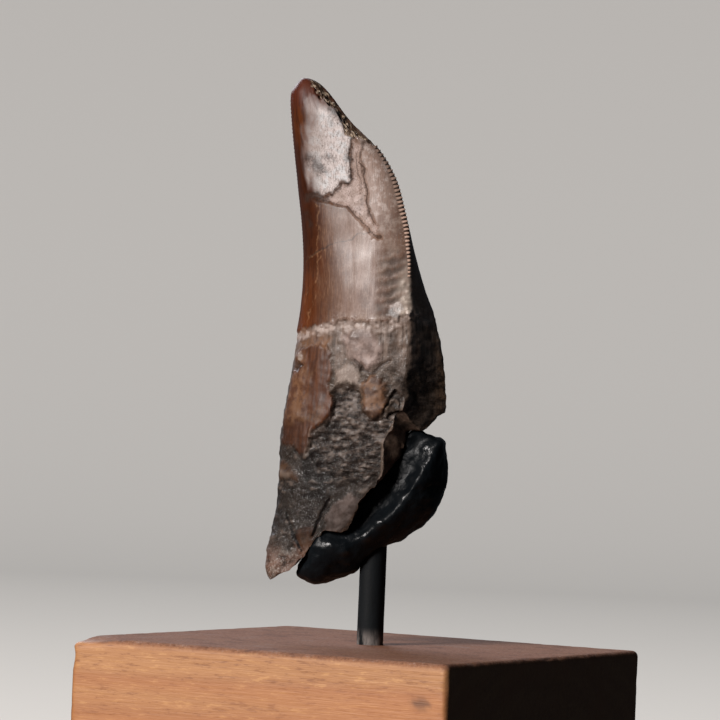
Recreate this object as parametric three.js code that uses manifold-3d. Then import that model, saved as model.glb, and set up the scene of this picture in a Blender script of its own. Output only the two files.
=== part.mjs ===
// A fossil tyrannosaur tooth on its display stand: the tooth, the putty cradle under its broken root,
// a steel pin and a wooden block. Millimetres, +Z up, origin at the centre of the block's underside.
import * as THREE from "three";
import { mergeVertices } from "three/addons/utils/BufferGeometryUtils.js";
import { RoundedBoxGeometry } from "three/addons/geometries/RoundedBoxGeometry.js";
import Module from "manifold-3d";

const wasm = await Module();
wasm.setup();

// ---------------------------------------------------------------- driving dimensions, mm

// Stand
const blockSide = 79;
const blockHeight = 45;
const blockRounding = 1.2; // sanded edges
const pinPlace = [2.3, -1]; // where the pin stands on the block, from the block's centre
const pinRadius = 2.5;
const pinChamfer = 0.4;
const pinSunk = 14; // length inside the block
const pinTop = 24.5; // the pin's end inside the cradle, above the block
const pinSides = 24;
const seatGap = 0.3; // between a piece and what carries it

// Tooth. In the tooth's own frame X runs from the hollow rear edge to the bulging front edge, -Y is the
// tongue side, and Z is the height above the block.
const toothTurn = 29; // degrees that the broad side is turned away from the block's front face
const tipHeight = 106.2;
const loftFoot = 8; // the uncut tooth ends here, below its fracture
const ringStep = 1.5;
const frontColumns = 20; // round the tongue side, from the front carina to the rear one
const backColumns = 15; // round the cheek side

// Outlines of the broad side as [depth below the tip, x]. Near the tip they are round, so they are drawn
// against the square root of the depth.
const rearEdge = [
  [0, -16.7],
  [1.2, -18.2],
  [3.1, -19.2],
  [9.7, -18.7],
  [19.1, -17.4],
  [28.6, -16.1],
  [36.1, -15.6],
  [43.7, -15.9],
  [48.4, -16.5],
  [55.1, -17.2],
  [67.4, -18.8],
  [79.7, -19],
  [91.5, -20.6],
  [94.4, -20.2],
  [96.6, -18.6],
  [98.2, -16],
];
const frontEdge = [
  [0, -16.7],
  [0.8, -14.1],
  [4.6, -10.4],
  [8.3, -7.3],
  [12.8, -2.5],
  [18.4, 1.1],
  [24.9, 3.3],
  [31.8, 5.3],
  [38.9, 7.6],
  [45.4, 10.2],
  [54.8, 12.1],
  [61.8, 12.5],
  [71.2, 12],
  [79.2, 9],
  [86.2, 2],
  [98.2, -13],
];
// Half of the thickness, cheek to tongue, and how far the middle of the tooth leans to the cheek side.
const halfDepth = [
  [0, 0],
  [1, 1.9],
  [4.6, 3.5],
  [11.6, 5.4],
  [26.2, 7.2],
  [46.2, 9.3],
  [60, 9.8],
  [76.2, 8.6],
  [86.2, 6.5],
  [98.2, 2.5],
];
const lean = [
  [0, -2.4],
  [15, -1.8],
  [46.2, -0.2],
  [61.2, 0.3],
  [98.2, 1],
];

// Carinae. The front one starts on the edge and winds round to the tongue side; the rear one keeps
// just behind the edge. Angles in degrees from +X, by height above the block.
const frontCarinaAngle = [
  [106, 0],
  [93, -10],
  [88, -14],
  [84, -18],
  [80, -24],
  [76, -33],
  [72, -40],
  [68, -48],
  [64, -55],
  [60, -58.5],
  [52, -63.5],
  [44, -67.5],
  [36, -70],
  [20, -68],
];
const rearCarinaAngle = 160;
// How far the sections slant, as a share of their depth: the front edge comes towards the tongue side.
const sectionSlant = [
  [106, 0.15],
  [100, 0.35],
  [94, 0.55],
  [86, 0.62],
  [78, 0.55],
  [70, 0.47],
  [62, 0.42],
  [35, 0.35],
  [8, 0.2],
];
// How much flatter than an oval the tongue side is, and the face between the front carina and the edge.
const tongueFlatness = [
  [106, 0.2],
  [98, 0.6],
  [86, 0.9],
  [76, 0.5],
  [66, 0.1],
  [60, 0],
];
const mesialFlatness = [
  [80, 0],
  [68, 0.05],
  [58, 0.12],
  [46, 0.17],
  [34, 0.12],
  [22, 0],
];
// How far each shoulder draws the section out to a corner, as a share of its radius.
const frontShoulder = [
  [106, 0.2],
  [92, 0.24],
  [84, 0.22],
  [74, 0.18],
  [60, 0.19],
  [44, 0.18],
  [30, 0.1],
  [8, 0.02],
];
const rearShoulder = [
  [106, 0.16],
  [60, 0.14],
  [44, 0.08],
  [8, 0.03],
];
const shoulderWidth = 0.38; // radians
const shoulderRound = 0.05; // radians
const sectionSamples = 360; // directions that find how wide and deep a section is
const faceShift = 0.02; // radians, keeps the flat face clear of the edge where both angles are zero

const denticlePitch = 0.73;
const denticleSize = [0.34, 0.5, 0.29]; // half sizes: out from the edge, across it and along it
const frontSerration = [69.5, 93.6]; // heights between which the edge is serrated
const rearSerration = [62, 102];

// Relief of the surface, out of it where it is positive: [x, z, half width, half height, rise] and
// the share of the patch that its soft rim takes.
const enamelStep = 0.35;
const mesialEvenness = 0.7; // share of the step that is missing in front of the front carina
const enamelLine = [
  [-16, 58.4],
  [-12, 59.9],
  [-5, 60.8],
  [0, 60.5],
  [5, 62.6],
  [12, 62],
];
const tongueSideRelief = [
  [-4.6, 88, 3.4, 6.5, -0.4, 0.5], // spalled enamel below the tip
  [-2.6, 36.5, 8, 8.6, -1, 0.25], // bared spongy bone
  [-12.6, 47.5, 3.1, 10.5, 0.6, 0.4], // polished strip of outer bone
  [0.2, 49.8, 2.4, 4.6, 0.7, 0.35], // tongue of outer bone
  [4.6, 46.6, 1.7, 1.5, -0.8, 0.5], // hollow with a raised lip
  [-8.5, 26.5, 4.5, 4.5, 0.45, 0.5], // smooth patch by the lower break
  [-16.5, 32, 2.2, 2.2, 0.4, 0.6], // knob on the rear edge
];
const cheekSideRelief = [
  [-4, 84, 3.2, 8, -0.35, 0.5],
  [-6, 47, 6, 7, 0.5, 0.4],
  [2, 40, 5, 6, -0.7, 0.4],
  [-12, 30, 4, 7, -0.5, 0.5],
];
const wornStrip = { from: 93, to: 105, depth: 0.5 }; // rough wear beside the front edge, above the serration
const ripple = { low: 62, high: 73, x: 2.2, halfWidth: 3.2, pitch: 1.9, height: 0.2 };

// The fracture runs from the root's point up to the front edge at 45 degrees. Along it, and out from the
// tooth, its profile is [along, out].
const fractureProfile = [
  [-9, -21.6],
  [-5.4, -21.7],
  [0.3, -20.6],
  [7.3, -21.8],
  [8.6, -21.3],
  [10.2, -19.4],
  [11.2, -19.1],
  [15.1, -20.1],
  [17.1, -21.3],
  [23, -21.6],
  [27.8, -22.3],
  [30.8, -23.7],
  [33, -24.6],
  [34.9, -22.9],
  [38.2, -23.1],
  [40.2, -22.6],
  [48, -22],
];
// On the tongue side the break is bevelled back: [along, depth of the bevel].
const fractureBevel = [
  [21, 0],
  [24, 0.6],
  [27.8, 4.1],
  [31, 3.5],
  [34.8, 4.6],
  [36.4, 1],
  [38, 0],
];
const bevelStart = -5.7; // y where the bevel begins
const bevelEnd = -8.5;
const fractureSpan = 13; // half of the width that the cut covers
const fractureSteps = [44, 18];

// Cradle, in the fracture's own directions.
const cradleOuter = [
  [-1.6, -18.8],
  [-0.6, -15.8],
  [1.5, -14.2],
  [4.4, -13],
  [8, -11.7],
  [14.6, -11.1],
  [19, -10],
  [23.7, -9.8],
  [27.3, -10.3],
  [30.5, -12],
  [33.5, -14.9],
  [35.1, -16.8],
  [35.9, -18.2],
];
// The side towards the tooth, where it isn't cut to fit the fracture.
const cradleInner = [
  [-1.6, -19.2],
  [-0.3, -19.9],
  [2.2, -20.5],
  [6, -25],
  [31, -25.5],
  [33.7, -23.9],
  [34.9, -21.8],
  [35.9, -19.2],
];
const cradleHalfWidth = [
  [-1.6, 0.8],
  [-0.6, 2.6],
  [1.5, 3.9],
  [6, 5.8],
  [14, 7.4],
  [24, 8],
  [31, 7.3],
  [35.1, 5.6],
  [35.9, 3.6],
];
const cradleLean = [
  [0, 0.8],
  [16, 0],
  [34, -1.6],
]; // y of its middle
const cradleWidest = 0.33; // share of the way out at which a section is widest
const cradleRings = 28;
const cradleSides = 24;
// The hollow that leaves a raised lip along the cradle's tongue side: [along, out, radius].
const lipHollow = [
  [-4, -22.5, 1.6],
  [4, -21, 2],
  [9, -20.6, 3.6],
  [16, -20.2, 4.9],
  [24, -21, 5],
  [30, -21.8, 4.4],
  [40, -23.5, 4.2],
];
const lipHollowDepth = -8.2; // y of the hollow's centre line, from the cradle's middle
const lipHollowSides = 14;

// ---------------------------------------------------------------- small helpers

const degrees = Math.PI / 180;
const slant = Math.SQRT1_2;

// A smooth curve through [position, value] pairs that are sorted by position, level beyond its ends.
function curveThrough(points, warp = (p) => p) {
  const at = points.map(([p]) => warp(p));
  const value = points.map(([, v]) => v);
  const last = points.length - 1;
  const slope = value.map((v, i) => {
    if (i === 0 || i === last) return 0;
    return (value[i + 1] - value[i - 1]) / (at[i + 1] - at[i - 1]);
  });
  slope[0] = (value[1] - value[0]) / (at[1] - at[0]);
  slope[last] = (value[last] - value[last - 1]) / (at[last] - at[last - 1]);
  return (p) => {
    const x = THREE.MathUtils.clamp(warp(p), at[0], at[last]);
    let i = 0;
    while (i < last - 1 && x > at[i + 1]) i++;
    const h = at[i + 1] - at[i];
    const t = (x - at[i]) / h;
    const rise = value[i + 1] - value[i];
    const a = slope[i] * h - rise;
    const b = rise - slope[i + 1] * h;
    return value[i] + rise * t + t * (1 - t) * (a * (1 - t) + b * t);
  };
}

const byHeight = (points) => curveThrough([...points].reverse());
const byDepth = (points) => {
  const curve = curveThrough(points, Math.sqrt);
  return (z) => curve(Math.max(tipHeight - z, 0));
};
const step = THREE.MathUtils.smoothstep;

// A gentle unevenness between -1 and 1 that never repeats within the object.
function unevenness(a, b, seed) {
  return (
    (Math.sin(a * 1.13 + seed) * Math.cos(b * 0.91 - 2 * seed) +
      Math.sin(a * 2.37 - b * 1.71 + 3 * seed) * 0.6 +
      Math.cos(a * 4.1 + b * 3.3 + 5 * seed) * 0.3) /
    1.9
  );
}

// Rings of equal length, each a list of [x, y, z], closed by a fan at both ends.
function loft(rings) {
  const sides = rings[0].length;
  const positions = rings.flat(2);
  const index = [];
  const ends = [rings[0], rings[rings.length - 1]].map((ring) => {
    const centre = [0, 1, 2].map((k) => ring.reduce((sum, p) => sum + p[k], 0) / sides);
    positions.push(...centre);
    return positions.length / 3 - 1;
  });
  for (let r = 0; r + 1 < rings.length; r++)
    for (let s = 0; s < sides; s++) {
      const [a, b] = [r * sides + s, r * sides + ((s + 1) % sides)];
      index.push(a, b, b + sides, a, b + sides, a + sides);
    }
  const top = (rings.length - 1) * sides;
  for (let s = 0; s < sides; s++) {
    const next = (s + 1) % sides;
    index.push(ends[0], next, s, ends[1], top + s, top + next);
  }
  const geometry = new THREE.BufferGeometry();
  geometry.setAttribute("position", new THREE.Float32BufferAttribute(positions, 3));
  geometry.setIndex(index);
  return geometry;
}

// A closed geometry as a solid that can be joined and cut. Lofts may come inside out.
function solid(geometry) {
  const bare = geometry.clone();
  bare.deleteAttribute("normal");
  bare.deleteAttribute("uv");
  const merged = mergeVertices(bare, 1e-4);
  const make = (triVerts) =>
    new wasm.Manifold(
      new wasm.Mesh({ numProp: 3, vertProperties: merged.attributes.position.array, triVerts }),
    );
  const faces = new Uint32Array(merged.index.array);
  const made = make(faces);
  return made.volume() > 0 ? made : make(faces.reverse());
}

function geometryOf(body) {
  const mesh = body.getMesh();
  const positions = new Float32Array(mesh.numVert * 3);
  for (let i = 0; i < mesh.numVert; i++)
    positions.set(mesh.vertProperties.subarray(i * mesh.numProp, i * mesh.numProp + 3), i * 3);
  const geometry = new THREE.BufferGeometry();
  geometry.setAttribute("position", new THREE.BufferAttribute(positions, 3));
  geometry.setIndex(new THREE.BufferAttribute(mesh.triVerts, 1));
  geometry.computeVertexNormals();
  return geometry;
}

function piece(name, body, colour, roughness, metalness = 0) {
  const material = new THREE.MeshStandardMaterial({
    color: colour,
    roughness,
    metalness,
    flatShading: true,
  });
  const mesh = new THREE.Mesh(geometryOf(body), material);
  mesh.name = name;
  return mesh;
}

// An upright round bar from z = low to z = high with a chamfer at both ends.
function bar(radius, low, high, chamfer) {
  const outline = [
    [0, low],
    [radius - chamfer, low],
    [radius, low + chamfer],
    [radius, high - chamfer],
    [radius - chamfer, high],
    [0, high],
  ].map(([r, z]) => new THREE.Vector2(r, z));
  return new THREE.LatheGeometry(outline, pinSides).rotateX(Math.PI / 2);
}

// ---------------------------------------------------------------- tooth

const rearX = byDepth(rearEdge);
const frontX = byDepth(frontEdge);
const depthAt = byDepth(halfDepth);
const leanAt = byDepth(lean);
const carinaTurn = byHeight(frontCarinaAngle);
const frontCorner = byHeight(frontShoulder);
const rearCorner = byHeight(rearShoulder);
const slantAt = byHeight(sectionSlant);
const tongueFlat = byHeight(tongueFlatness);
const mesialFlat = byHeight(mesialFlatness);
const enamelEdge = curveThrough(enamelLine);

// The unit section at one height: a slanted oval drawn out to a corner at each carina, with a flattened
// tongue side and a flat face in front of the front carina.
function unitSection(z, angle) {
  const corner = (at, share) => {
    const away = Math.atan2(Math.sin(angle - at), Math.cos(angle - at));
    return share * Math.exp(-Math.hypot(away, shoulderRound) / shoulderWidth);
  };
  const faceMiddle = (carinaTurn(z) * degrees) / 2 - faceShift;
  const offFace = Math.atan2(Math.sin(angle - faceMiddle), Math.cos(angle - faceMiddle)) / faceMiddle;
  const radius =
    1 -
    mesialFlat(z) * Math.max(0, 1 - offFace ** 2) +
    corner(carinaTurn(z) * degrees, frontCorner(z)) +
    corner(rearCarinaAngle * degrees, rearCorner(z));
  const across = radius * Math.cos(angle);
  const up = radius * Math.sin(angle);
  const flattened = -1 + Math.max(1 + up, 0) ** (1 + tongueFlat(z)) + Math.min(up + 1, 0);
  return [across, (up < 0 ? flattened : up) - slantAt(z) * across];
}

// Fits the unit section of a height between the outlines there.
function sectionFit(z) {
  const samples = Array.from({ length: sectionSamples }, (_, i) =>
    unitSection(z, (carinaTurn(z) + (i * 360) / sectionSamples) * degrees),
  );
  const [us, vs] = [0, 1].map((k) => samples.map((point) => point[k]));
  const share = (value, list) => THREE.MathUtils.inverseLerp(Math.min(...list), Math.max(...list), value);
  return ([u, v]) => [
    THREE.MathUtils.lerp(rearX(z), frontX(z), share(u, us)),
    leanAt(z) + depthAt(z) * (2 * share(v, vs) - 1),
  ];
}

function patchRise(list, x, z) {
  return list.reduce((sum, [px, pz, halfWidth, halfHeight, rise, rim]) => {
    const distance = Math.hypot((x - px) / halfWidth, (z - pz) / halfHeight);
    return sum + rise * (1 - step(distance, 1 - rim, 1 + rim * 0.3));
  }, 0);
}

// How far the surface stands out of the plain loft at a point that faces the given angle.
function relief(x, z, angle) {
  const tongueSide = step(-Math.sin(angle), 0.05, 0.5);
  const cheekSide = step(Math.sin(angle), 0.05, 0.5);
  const crown = step(z - enamelEdge(x), -0.5, 0.5);
  const worn =
    step(z, wornStrip.from - 1, wornStrip.from + 2) *
    (1 - step(z, wornStrip.to - 2, wornStrip.to)) *
    step(Math.cos(angle), 0.5, 0.7) *
    (1 - step(Math.cos(angle), 0.9, 0.98));
  const rippled =
    step(z, ripple.low, ripple.low + 2) *
    (1 - step(z, ripple.high - 2, ripple.high)) *
    Math.max(0, 1 - ((x - ripple.x) / ripple.halfWidth) ** 2);
  const waves = Math.sin(((z - 0.25 * x) / ripple.pitch) * 2 * Math.PI);
  const mesialFace = step(Math.cos(angle), 0.4, 0.8);
  return (
    enamelStep * (crown + (1 - crown) * mesialFace * mesialEvenness) -
    wornStrip.depth * worn +
    tongueSide * (patchRise(tongueSideRelief, x, z) + ripple.height * rippled * waves) +
    cheekSide * patchRise(cheekSideRelief, x, z) +
    (1 - crown) * 0.22 * unevenness(x + 4 * Math.sin(angle), z, 1.7)
  );
}

// The point of the surface at a height, in a direction from the middle of the section.
function surfacePoint(z, angle, fit = sectionFit(z)) {
  const [x, y] = fit(unitSection(z, angle));
  const halfWidth = (frontX(z) - rearX(z)) / 2;
  const out = new THREE.Vector2(
    Math.cos(angle) / Math.max(halfWidth, 0.1),
    Math.sin(angle) / Math.max(depthAt(z), 0.1),
  ).normalize();
  const blend = step(tipHeight - z, 0, 4); // the relief dies out at the very tip
  const rise = (relief(x, z, angle) - enamelStep) * blend;
  return [x + out.x * rise, y + out.y * rise, z];
}

// Columns run from the front carina round the tongue side to the rear one, then round the cheek side,
// so that both carinae lie on a column.
function columnAngles(z) {
  const front = carinaTurn(z);
  const rear = rearCarinaAngle - 360;
  const tongue = Array.from(
    { length: frontColumns },
    (_, i) => front + ((rear - front) * i) / frontColumns,
  );
  const cheek = Array.from(
    { length: backColumns },
    (_, i) => rear + ((front - 360 - rear) * i) / backColumns,
  );
  return [...tongue, ...cheek].map((a) => a * degrees);
}

function toothLoft() {
  const rings = [];
  const tipSteps = [0.12, 0.4, 0.8, 1.4, 2.1, 3];
  const count = Math.round((tipHeight - tipSteps[tipSteps.length - 1] - loftFoot) / ringStep);
  const top = tipHeight - tipSteps[tipSteps.length - 1];
  const heights = [
    ...tipSteps.slice(0, -1).map((d) => tipHeight - d),
    ...Array.from({ length: count + 1 }, (_, i) => top + ((loftFoot - top) * i) / count),
  ];
  for (const z of heights) {
    const fit = sectionFit(z);
    rings.push(columnAngles(z).map((angle) => surfacePoint(z, angle, fit)));
  }
  return solid(loft(rings));
}

// A row of small pointed lumps, one denticle each, along a carina.
function serration([low, high], angleAt) {
  const count = Math.round((high - low) / denticlePitch);
  return Array.from({ length: count + 1 }, (_, i) => {
    const z = low + ((high - low) * i) / count;
    const [x, y] = surfacePoint(z, angleAt(z));
    const above = surfacePoint(z + 0.5, angleAt(z + 0.5));
    const along = new THREE.Vector3(above[0] - x, above[1] - y, 0.5).normalize();
    const out = new THREE.Vector3(Math.cos(angleAt(z)), Math.sin(angleAt(z)), 0);
    out.addScaledVector(along, -out.dot(along)).normalize();
    const across = new THREE.Vector3().crossVectors(along, out);
    const lump = new THREE.OctahedronGeometry(1).scale(...denticleSize);
    lump.applyMatrix4(new THREE.Matrix4().makeBasis(out, across, along).setPosition(x, y, z));
    return solid(lump);
  });
}

// ---------------------------------------------------------------- fracture

const profileAt = curveThrough(fractureProfile);
const bevelAt = curveThrough(fractureBevel);

// The broken surface, as its distance out from the tooth, along the break and across it.
function fractureOut(along, y) {
  const bevelled = THREE.MathUtils.clamp((y - bevelStart) / (bevelEnd - bevelStart), 0, 1);
  const rough = 0.35 * unevenness(along, y, 0.6) * step(Math.abs(y), 0.5, 4);
  return profileAt(along) - bevelAt(along) * bevelled + rough;
}

const slanted = (along, out, y) => [(along + out) * slant, y, (along - out) * slant];

// Everything beyond the broken surface, moved out by a gap.
function beyondFracture(gap) {
  const [alongSteps, acrossSteps] = fractureSteps;
  const [from, to] = [fractureProfile[0][0], fractureProfile.at(-1)[0]];
  const reach = 40;
  const slab = new THREE.BoxGeometry(1, 1, 1, alongSteps, 1, acrossSteps);
  const points = slab.attributes.position;
  for (let i = 0; i < points.count; i++) {
    const along = from + (points.getX(i) + 0.5) * (to - from);
    const y = points.getZ(i) * 2 * fractureSpan;
    const surface = fractureOut(along, y) + gap;
    const out = points.getY(i) > 0 ? surface : surface + reach;
    points.setXYZ(i, ...slanted(along, out, y));
  }
  return solid(slab);
}

function makeTooth() {
  const denticles = [
    ...serration(frontSerration, (z) => carinaTurn(z) * degrees),
    ...serration(rearSerration, () => rearCarinaAngle * degrees),
  ];
  const whole = wasm.Manifold.union([toothLoft(), ...denticles]);
  return whole.subtract(beyondFracture(0));
}

// ---------------------------------------------------------------- cradle, pin and block

function makeCradle(hole) {
  const outer = curveThrough(cradleOuter);
  const inner = curveThrough(cradleInner);
  const middleY = curveThrough(cradleLean);
  const halfWidth = curveThrough(cradleHalfWidth);
  const [from, to] = [cradleOuter[0][0], cradleOuter.at(-1)[0]];
  const lump = loft(
    Array.from({ length: cradleRings }, (_, r) => {
      const share = (1 - Math.cos((Math.PI * r) / (cradleRings - 1))) / 2;
      const along = from + (to - from) * share;
      return Array.from({ length: cradleSides }, (_, s) => {
        const angle = (2 * Math.PI * s) / cradleSides;
        const middle = THREE.MathUtils.lerp(inner(along), outer(along), cradleWidest);
        const reach = Math.cos(angle) > 0 ? outer(along) - middle : middle - inner(along);
        const lumpy = 1 + 0.03 * unevenness(along * 0.5, 3 * angle, 2.2);
        const out = middle + reach * Math.cos(angle);
        return slanted(along, out, middleY(along) + halfWidth(along) * lumpy * Math.sin(angle));
      });
    }),
  );
  const hollowOut = curveThrough(lipHollow.map(([along, out]) => [along, out]));
  const hollowRadius = curveThrough(lipHollow.map(([along, , radius]) => [along, radius]));
  const [start, end] = [lipHollow[0][0], lipHollow.at(-1)[0]];
  const hollow = loft(
    Array.from({ length: 20 }, (_, r) => {
      const along = start + ((end - start) * r) / 19;
      return Array.from({ length: lipHollowSides }, (_, s) => {
        const angle = (2 * Math.PI * s) / lipHollowSides;
        const out = hollowOut(along) + hollowRadius(along) * Math.cos(angle);
        const y = lipHollowDepth + middleY(along) + hollowRadius(along) * Math.sin(angle);
        return slanted(along, out, y);
      });
    }),
  );
  return solid(lump)
    .intersect(beyondFracture(seatGap))
    .subtract(solid(hollow))
    .subtract(solid(hole));
}

function makeBlock(hole) {
  const box = new RoundedBoxGeometry(blockSide, blockSide, blockHeight, 2, blockRounding);
  return solid(box.translate(0, 0, blockHeight / 2)).subtract(solid(hole));
}

const pin = bar(pinRadius, -pinSunk, pinTop, pinChamfer);
const pinHole = bar(pinRadius + seatGap, -pinSunk - seatGap, pinTop + seatGap, pinChamfer);

const standing = new THREE.Group(); // everything that stands on the block's top face
standing.position.set(...pinPlace, blockHeight);
standing.rotation.z = toothTurn * degrees;
standing.updateMatrix();
standing.add(piece("tooth", makeTooth(), 0x6e5446, 0.4));
standing.add(piece("cradle", makeCradle(pinHole), 0x0b0c0e, 0.35));
standing.add(piece("pin", solid(pin), 0x17181a, 0.45, 0.2));

const object = new THREE.Group();
object.add(standing);
object.add(piece("block", makeBlock(pinHole.clone().applyMatrix4(standing.matrix)), 0xa9764e, 0.6));

export default object;
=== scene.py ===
import math

import bmesh
import bpy
import numpy as np
from mathutils import Matrix, Vector, noise
from mathutils.bvhtree import BVHTree


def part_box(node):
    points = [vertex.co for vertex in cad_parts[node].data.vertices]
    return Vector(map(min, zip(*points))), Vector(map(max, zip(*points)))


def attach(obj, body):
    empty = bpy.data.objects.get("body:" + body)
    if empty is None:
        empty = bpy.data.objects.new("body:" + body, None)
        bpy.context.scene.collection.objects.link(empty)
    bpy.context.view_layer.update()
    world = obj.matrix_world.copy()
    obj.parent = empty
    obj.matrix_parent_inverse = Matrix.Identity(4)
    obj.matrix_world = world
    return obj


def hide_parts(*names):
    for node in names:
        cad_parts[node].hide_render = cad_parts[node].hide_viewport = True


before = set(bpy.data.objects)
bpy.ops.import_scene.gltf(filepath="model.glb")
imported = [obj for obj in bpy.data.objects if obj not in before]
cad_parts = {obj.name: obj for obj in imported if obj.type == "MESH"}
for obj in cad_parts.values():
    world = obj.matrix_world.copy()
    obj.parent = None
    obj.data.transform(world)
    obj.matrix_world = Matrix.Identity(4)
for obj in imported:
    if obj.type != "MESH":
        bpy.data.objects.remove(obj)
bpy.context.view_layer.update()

# Lengths are in millimetres until a mesh is made. Most pieces are drawn in the tooth's own frame: the
# origin is where the pin meets the block's top, x runs to the tooth's front edge, -y to its tongue side.
millimetre = 0.001
toothTurn = math.radians(29)  # of the tooth, cradle and pin against the block
pinLow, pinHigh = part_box("pin")
_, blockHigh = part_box("block")
foot = Vector(((pinLow.x + pinHigh.x) / 2, (pinLow.y + pinHigh.y) / 2, blockHigh.z))
standing = Matrix.Translation(foot) @ Matrix.Rotation(toothTurn, 4, "Z") @ Matrix.Scale(millimetre, 4)


# helpers for numbers, meshes and materials

def smooth(value, low, high):
    share = np.clip((value - low) / (high - low), 0, 1)
    return share * share * (3 - 2 * share)


def mixed(a, b, share):
    return a + (b - a) * share


def curveThrough(points, warp=lambda p: p):
    # a smooth curve through [position, value] pairs, level beyond its ends
    at = warp(np.array([p for p, _ in points], float))
    value = np.array([v for _, v in points], float)
    slope = np.zeros(len(at))
    slope[1:-1] = (value[2:] - value[:-2]) / (at[2:] - at[:-2])
    slope[0] = (value[1] - value[0]) / (at[1] - at[0])
    slope[-1] = (value[-1] - value[-2]) / (at[-1] - at[-2])

    def curve(p):
        x = np.clip(warp(np.asarray(p, float)), at[0], at[-1])
        i = np.clip(np.searchsorted(at, x) - 1, 0, len(at) - 2)
        h = at[i + 1] - at[i]
        t = (x - at[i]) / h
        rise = value[i + 1] - value[i]
        a = slope[i] * h - rise
        b = rise - slope[i + 1] * h
        return value[i] + rise * t + t * (1 - t) * (a * (1 - t) + b * t)

    return curve


def byHeight(points):
    return curveThrough(points[::-1])


def byDepth(points, tip):
    curve = curveThrough(points, np.sqrt)
    return lambda z: curve(np.maximum(tip - z, 0))


def unevenness(a, b, seed):
    # the gentle unevenness of the CAD solids, between -1 and 1
    return (np.sin(a * 1.13 + seed) * np.cos(b * 0.91 - 2 * seed)
            + np.sin(a * 2.37 - b * 1.71 + 3 * seed) * 0.6
            + np.cos(a * 4.1 + b * 3.3 + 5 * seed) * 0.3) / 1.9


seedStride = 7.31  # how far apart the noise of two seeds is taken


def noisePlaces(places, size, seed, stretch):
    return (places / (np.array(stretch) * size) + seed * seedStride).tolist()


def bumps(places, size, octaves=2, seed=0, stretch=(1, 1, 1)):
    # fractal noise about -1..1 whose largest bumps have this size in mm
    at = noisePlaces(places, size, seed, stretch)
    return np.fromiter((noise.fractal(p, 0.8, 2.0, octaves) for p in at), float, len(at)) * 1.4


def cells(places, size, seed=0, stretch=(1, 1, 1)):
    # for cells of this size in mm: distance to the cell's middle and to its wall, in cell sizes
    both = np.array([noise.voronoi(p)[0][:2] for p in noisePlaces(places, size, seed, stretch)])
    return both[:, 0], both[:, 1] - both[:, 0]


def toSegment(x, z, start, end):
    # distance to a straight line, and how far along it the nearest point is, 0 to 1
    (ax, az), (bx, bz) = start, end
    ex, ez = bx - ax, bz - az
    t = np.clip(((x - ax) * ex + (z - az) * ez) / (ex * ex + ez * ez), 0, 1)
    return np.hypot(x - ax - t * ex, z - az - t * ez), t


def inside(x, z, outline):
    # distance to a closed outline, positive inside it
    nearest = np.full(x.shape, np.inf)
    within = np.zeros(x.shape, bool)
    for start, end in zip(outline, outline[1:] + outline[:1]):
        nearest = np.minimum(nearest, toSegment(x, z, start, end)[0])
        (ax, az), (bx, bz) = start, end
        within ^= ((az > z) != (bz > z)) & (x < (bx - ax) * (z - az) / ((bz - az) or 1) + ax)
    return np.where(within, nearest, -nearest)


def nearLine(x, z, line):
    # distance to an open line, and how far along it the nearest point is, 0 to 1
    nearest = np.full(x.shape, np.inf)
    along = np.zeros(x.shape)
    for i, (start, end) in enumerate(zip(line, line[1:])):
        distance, t = toSegment(x, z, start, end)
        along = np.where(distance < nearest, (i + t) / (len(line) - 1), along)
        nearest = np.minimum(nearest, distance)
    return nearest, along


def gridCorners(rows, columns):
    # the first corner of each quad in an open grid of vertices
    r, c = np.meshgrid(np.arange(rows - 1), np.arange(columns - 1), indexing="ij")
    return (r * columns + c).ravel()[:, None]


def gridFaces(rows, columns, first=0):
    # quads between rings of vertices, each ring closed
    r, c = np.meshgrid(np.arange(rows - 1), np.arange(columns), indexing="ij")
    a = first + r * columns + c
    b = first + r * columns + (c + 1) % columns
    return np.stack([a, b, b + columns, a + columns], -1).reshape(-1, 4).tolist()


def closedLoft(rings):
    # rings (rows, columns, 3) with a fan at both ends, as points and faces
    rows, columns = rings.shape[:2]
    points = np.vstack([rings.reshape(-1, 3), rings[0].mean(0), rings[-1].mean(0)])
    faces = gridFaces(rows, columns)
    top, low = rows * columns, rows * columns + 1
    last = (rows - 1) * columns
    for c in range(columns):
        following = (c + 1) % columns
        faces.append([top, following, c])
        faces.append([low, last + c, last + following])
    return points, faces


def makePiece(name, points, faces, place=Matrix.Scale(millimetre, 4)):
    # a mesh object from points in mm; its normals are turned outwards
    mesh = bpy.data.meshes.new(name)
    mesh.from_pydata(points.tolist(), [], faces)
    mesh.transform(place)
    shape = bmesh.new()
    shape.from_mesh(mesh)
    bmesh.ops.recalc_face_normals(shape, faces=shape.faces)
    shape.to_mesh(mesh)
    shape.free()
    made = bpy.data.objects.new(name, mesh)
    bpy.context.scene.collection.objects.link(made)
    return made


def applyModifiers(piece):
    # the mesh as its modifiers leave it, and nothing left to compute
    bpy.context.view_layer.update()
    done = bpy.data.meshes.new_from_object(piece.evaluated_get(bpy.context.evaluated_depsgraph_get()))
    piece.modifiers.clear()
    piece.data = done


def joinOrCut(piece, other, operation):
    step = piece.modifiers.new(operation, "BOOLEAN")
    step.operation, step.object, step.solver = operation, other, "MANIFOLD"
    applyModifiers(piece)
    bpy.data.objects.remove(other)


def vectorsOf(items, name):
    values = np.empty(len(items) * 3, np.float32)
    items.foreach_get(name, values)
    return values.reshape(-1, 3).astype(float)


def pointsOf(piece):
    return vectorsOf(piece.data.vertices, "co")


def normalsOf(piece):
    return vectorsOf(piece.data.vertex_normals, "vector")


def movePoints(piece, points):
    piece.data.vertices.foreach_set("co", points.astype(np.float32).ravel())
    piece.data.update()


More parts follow.
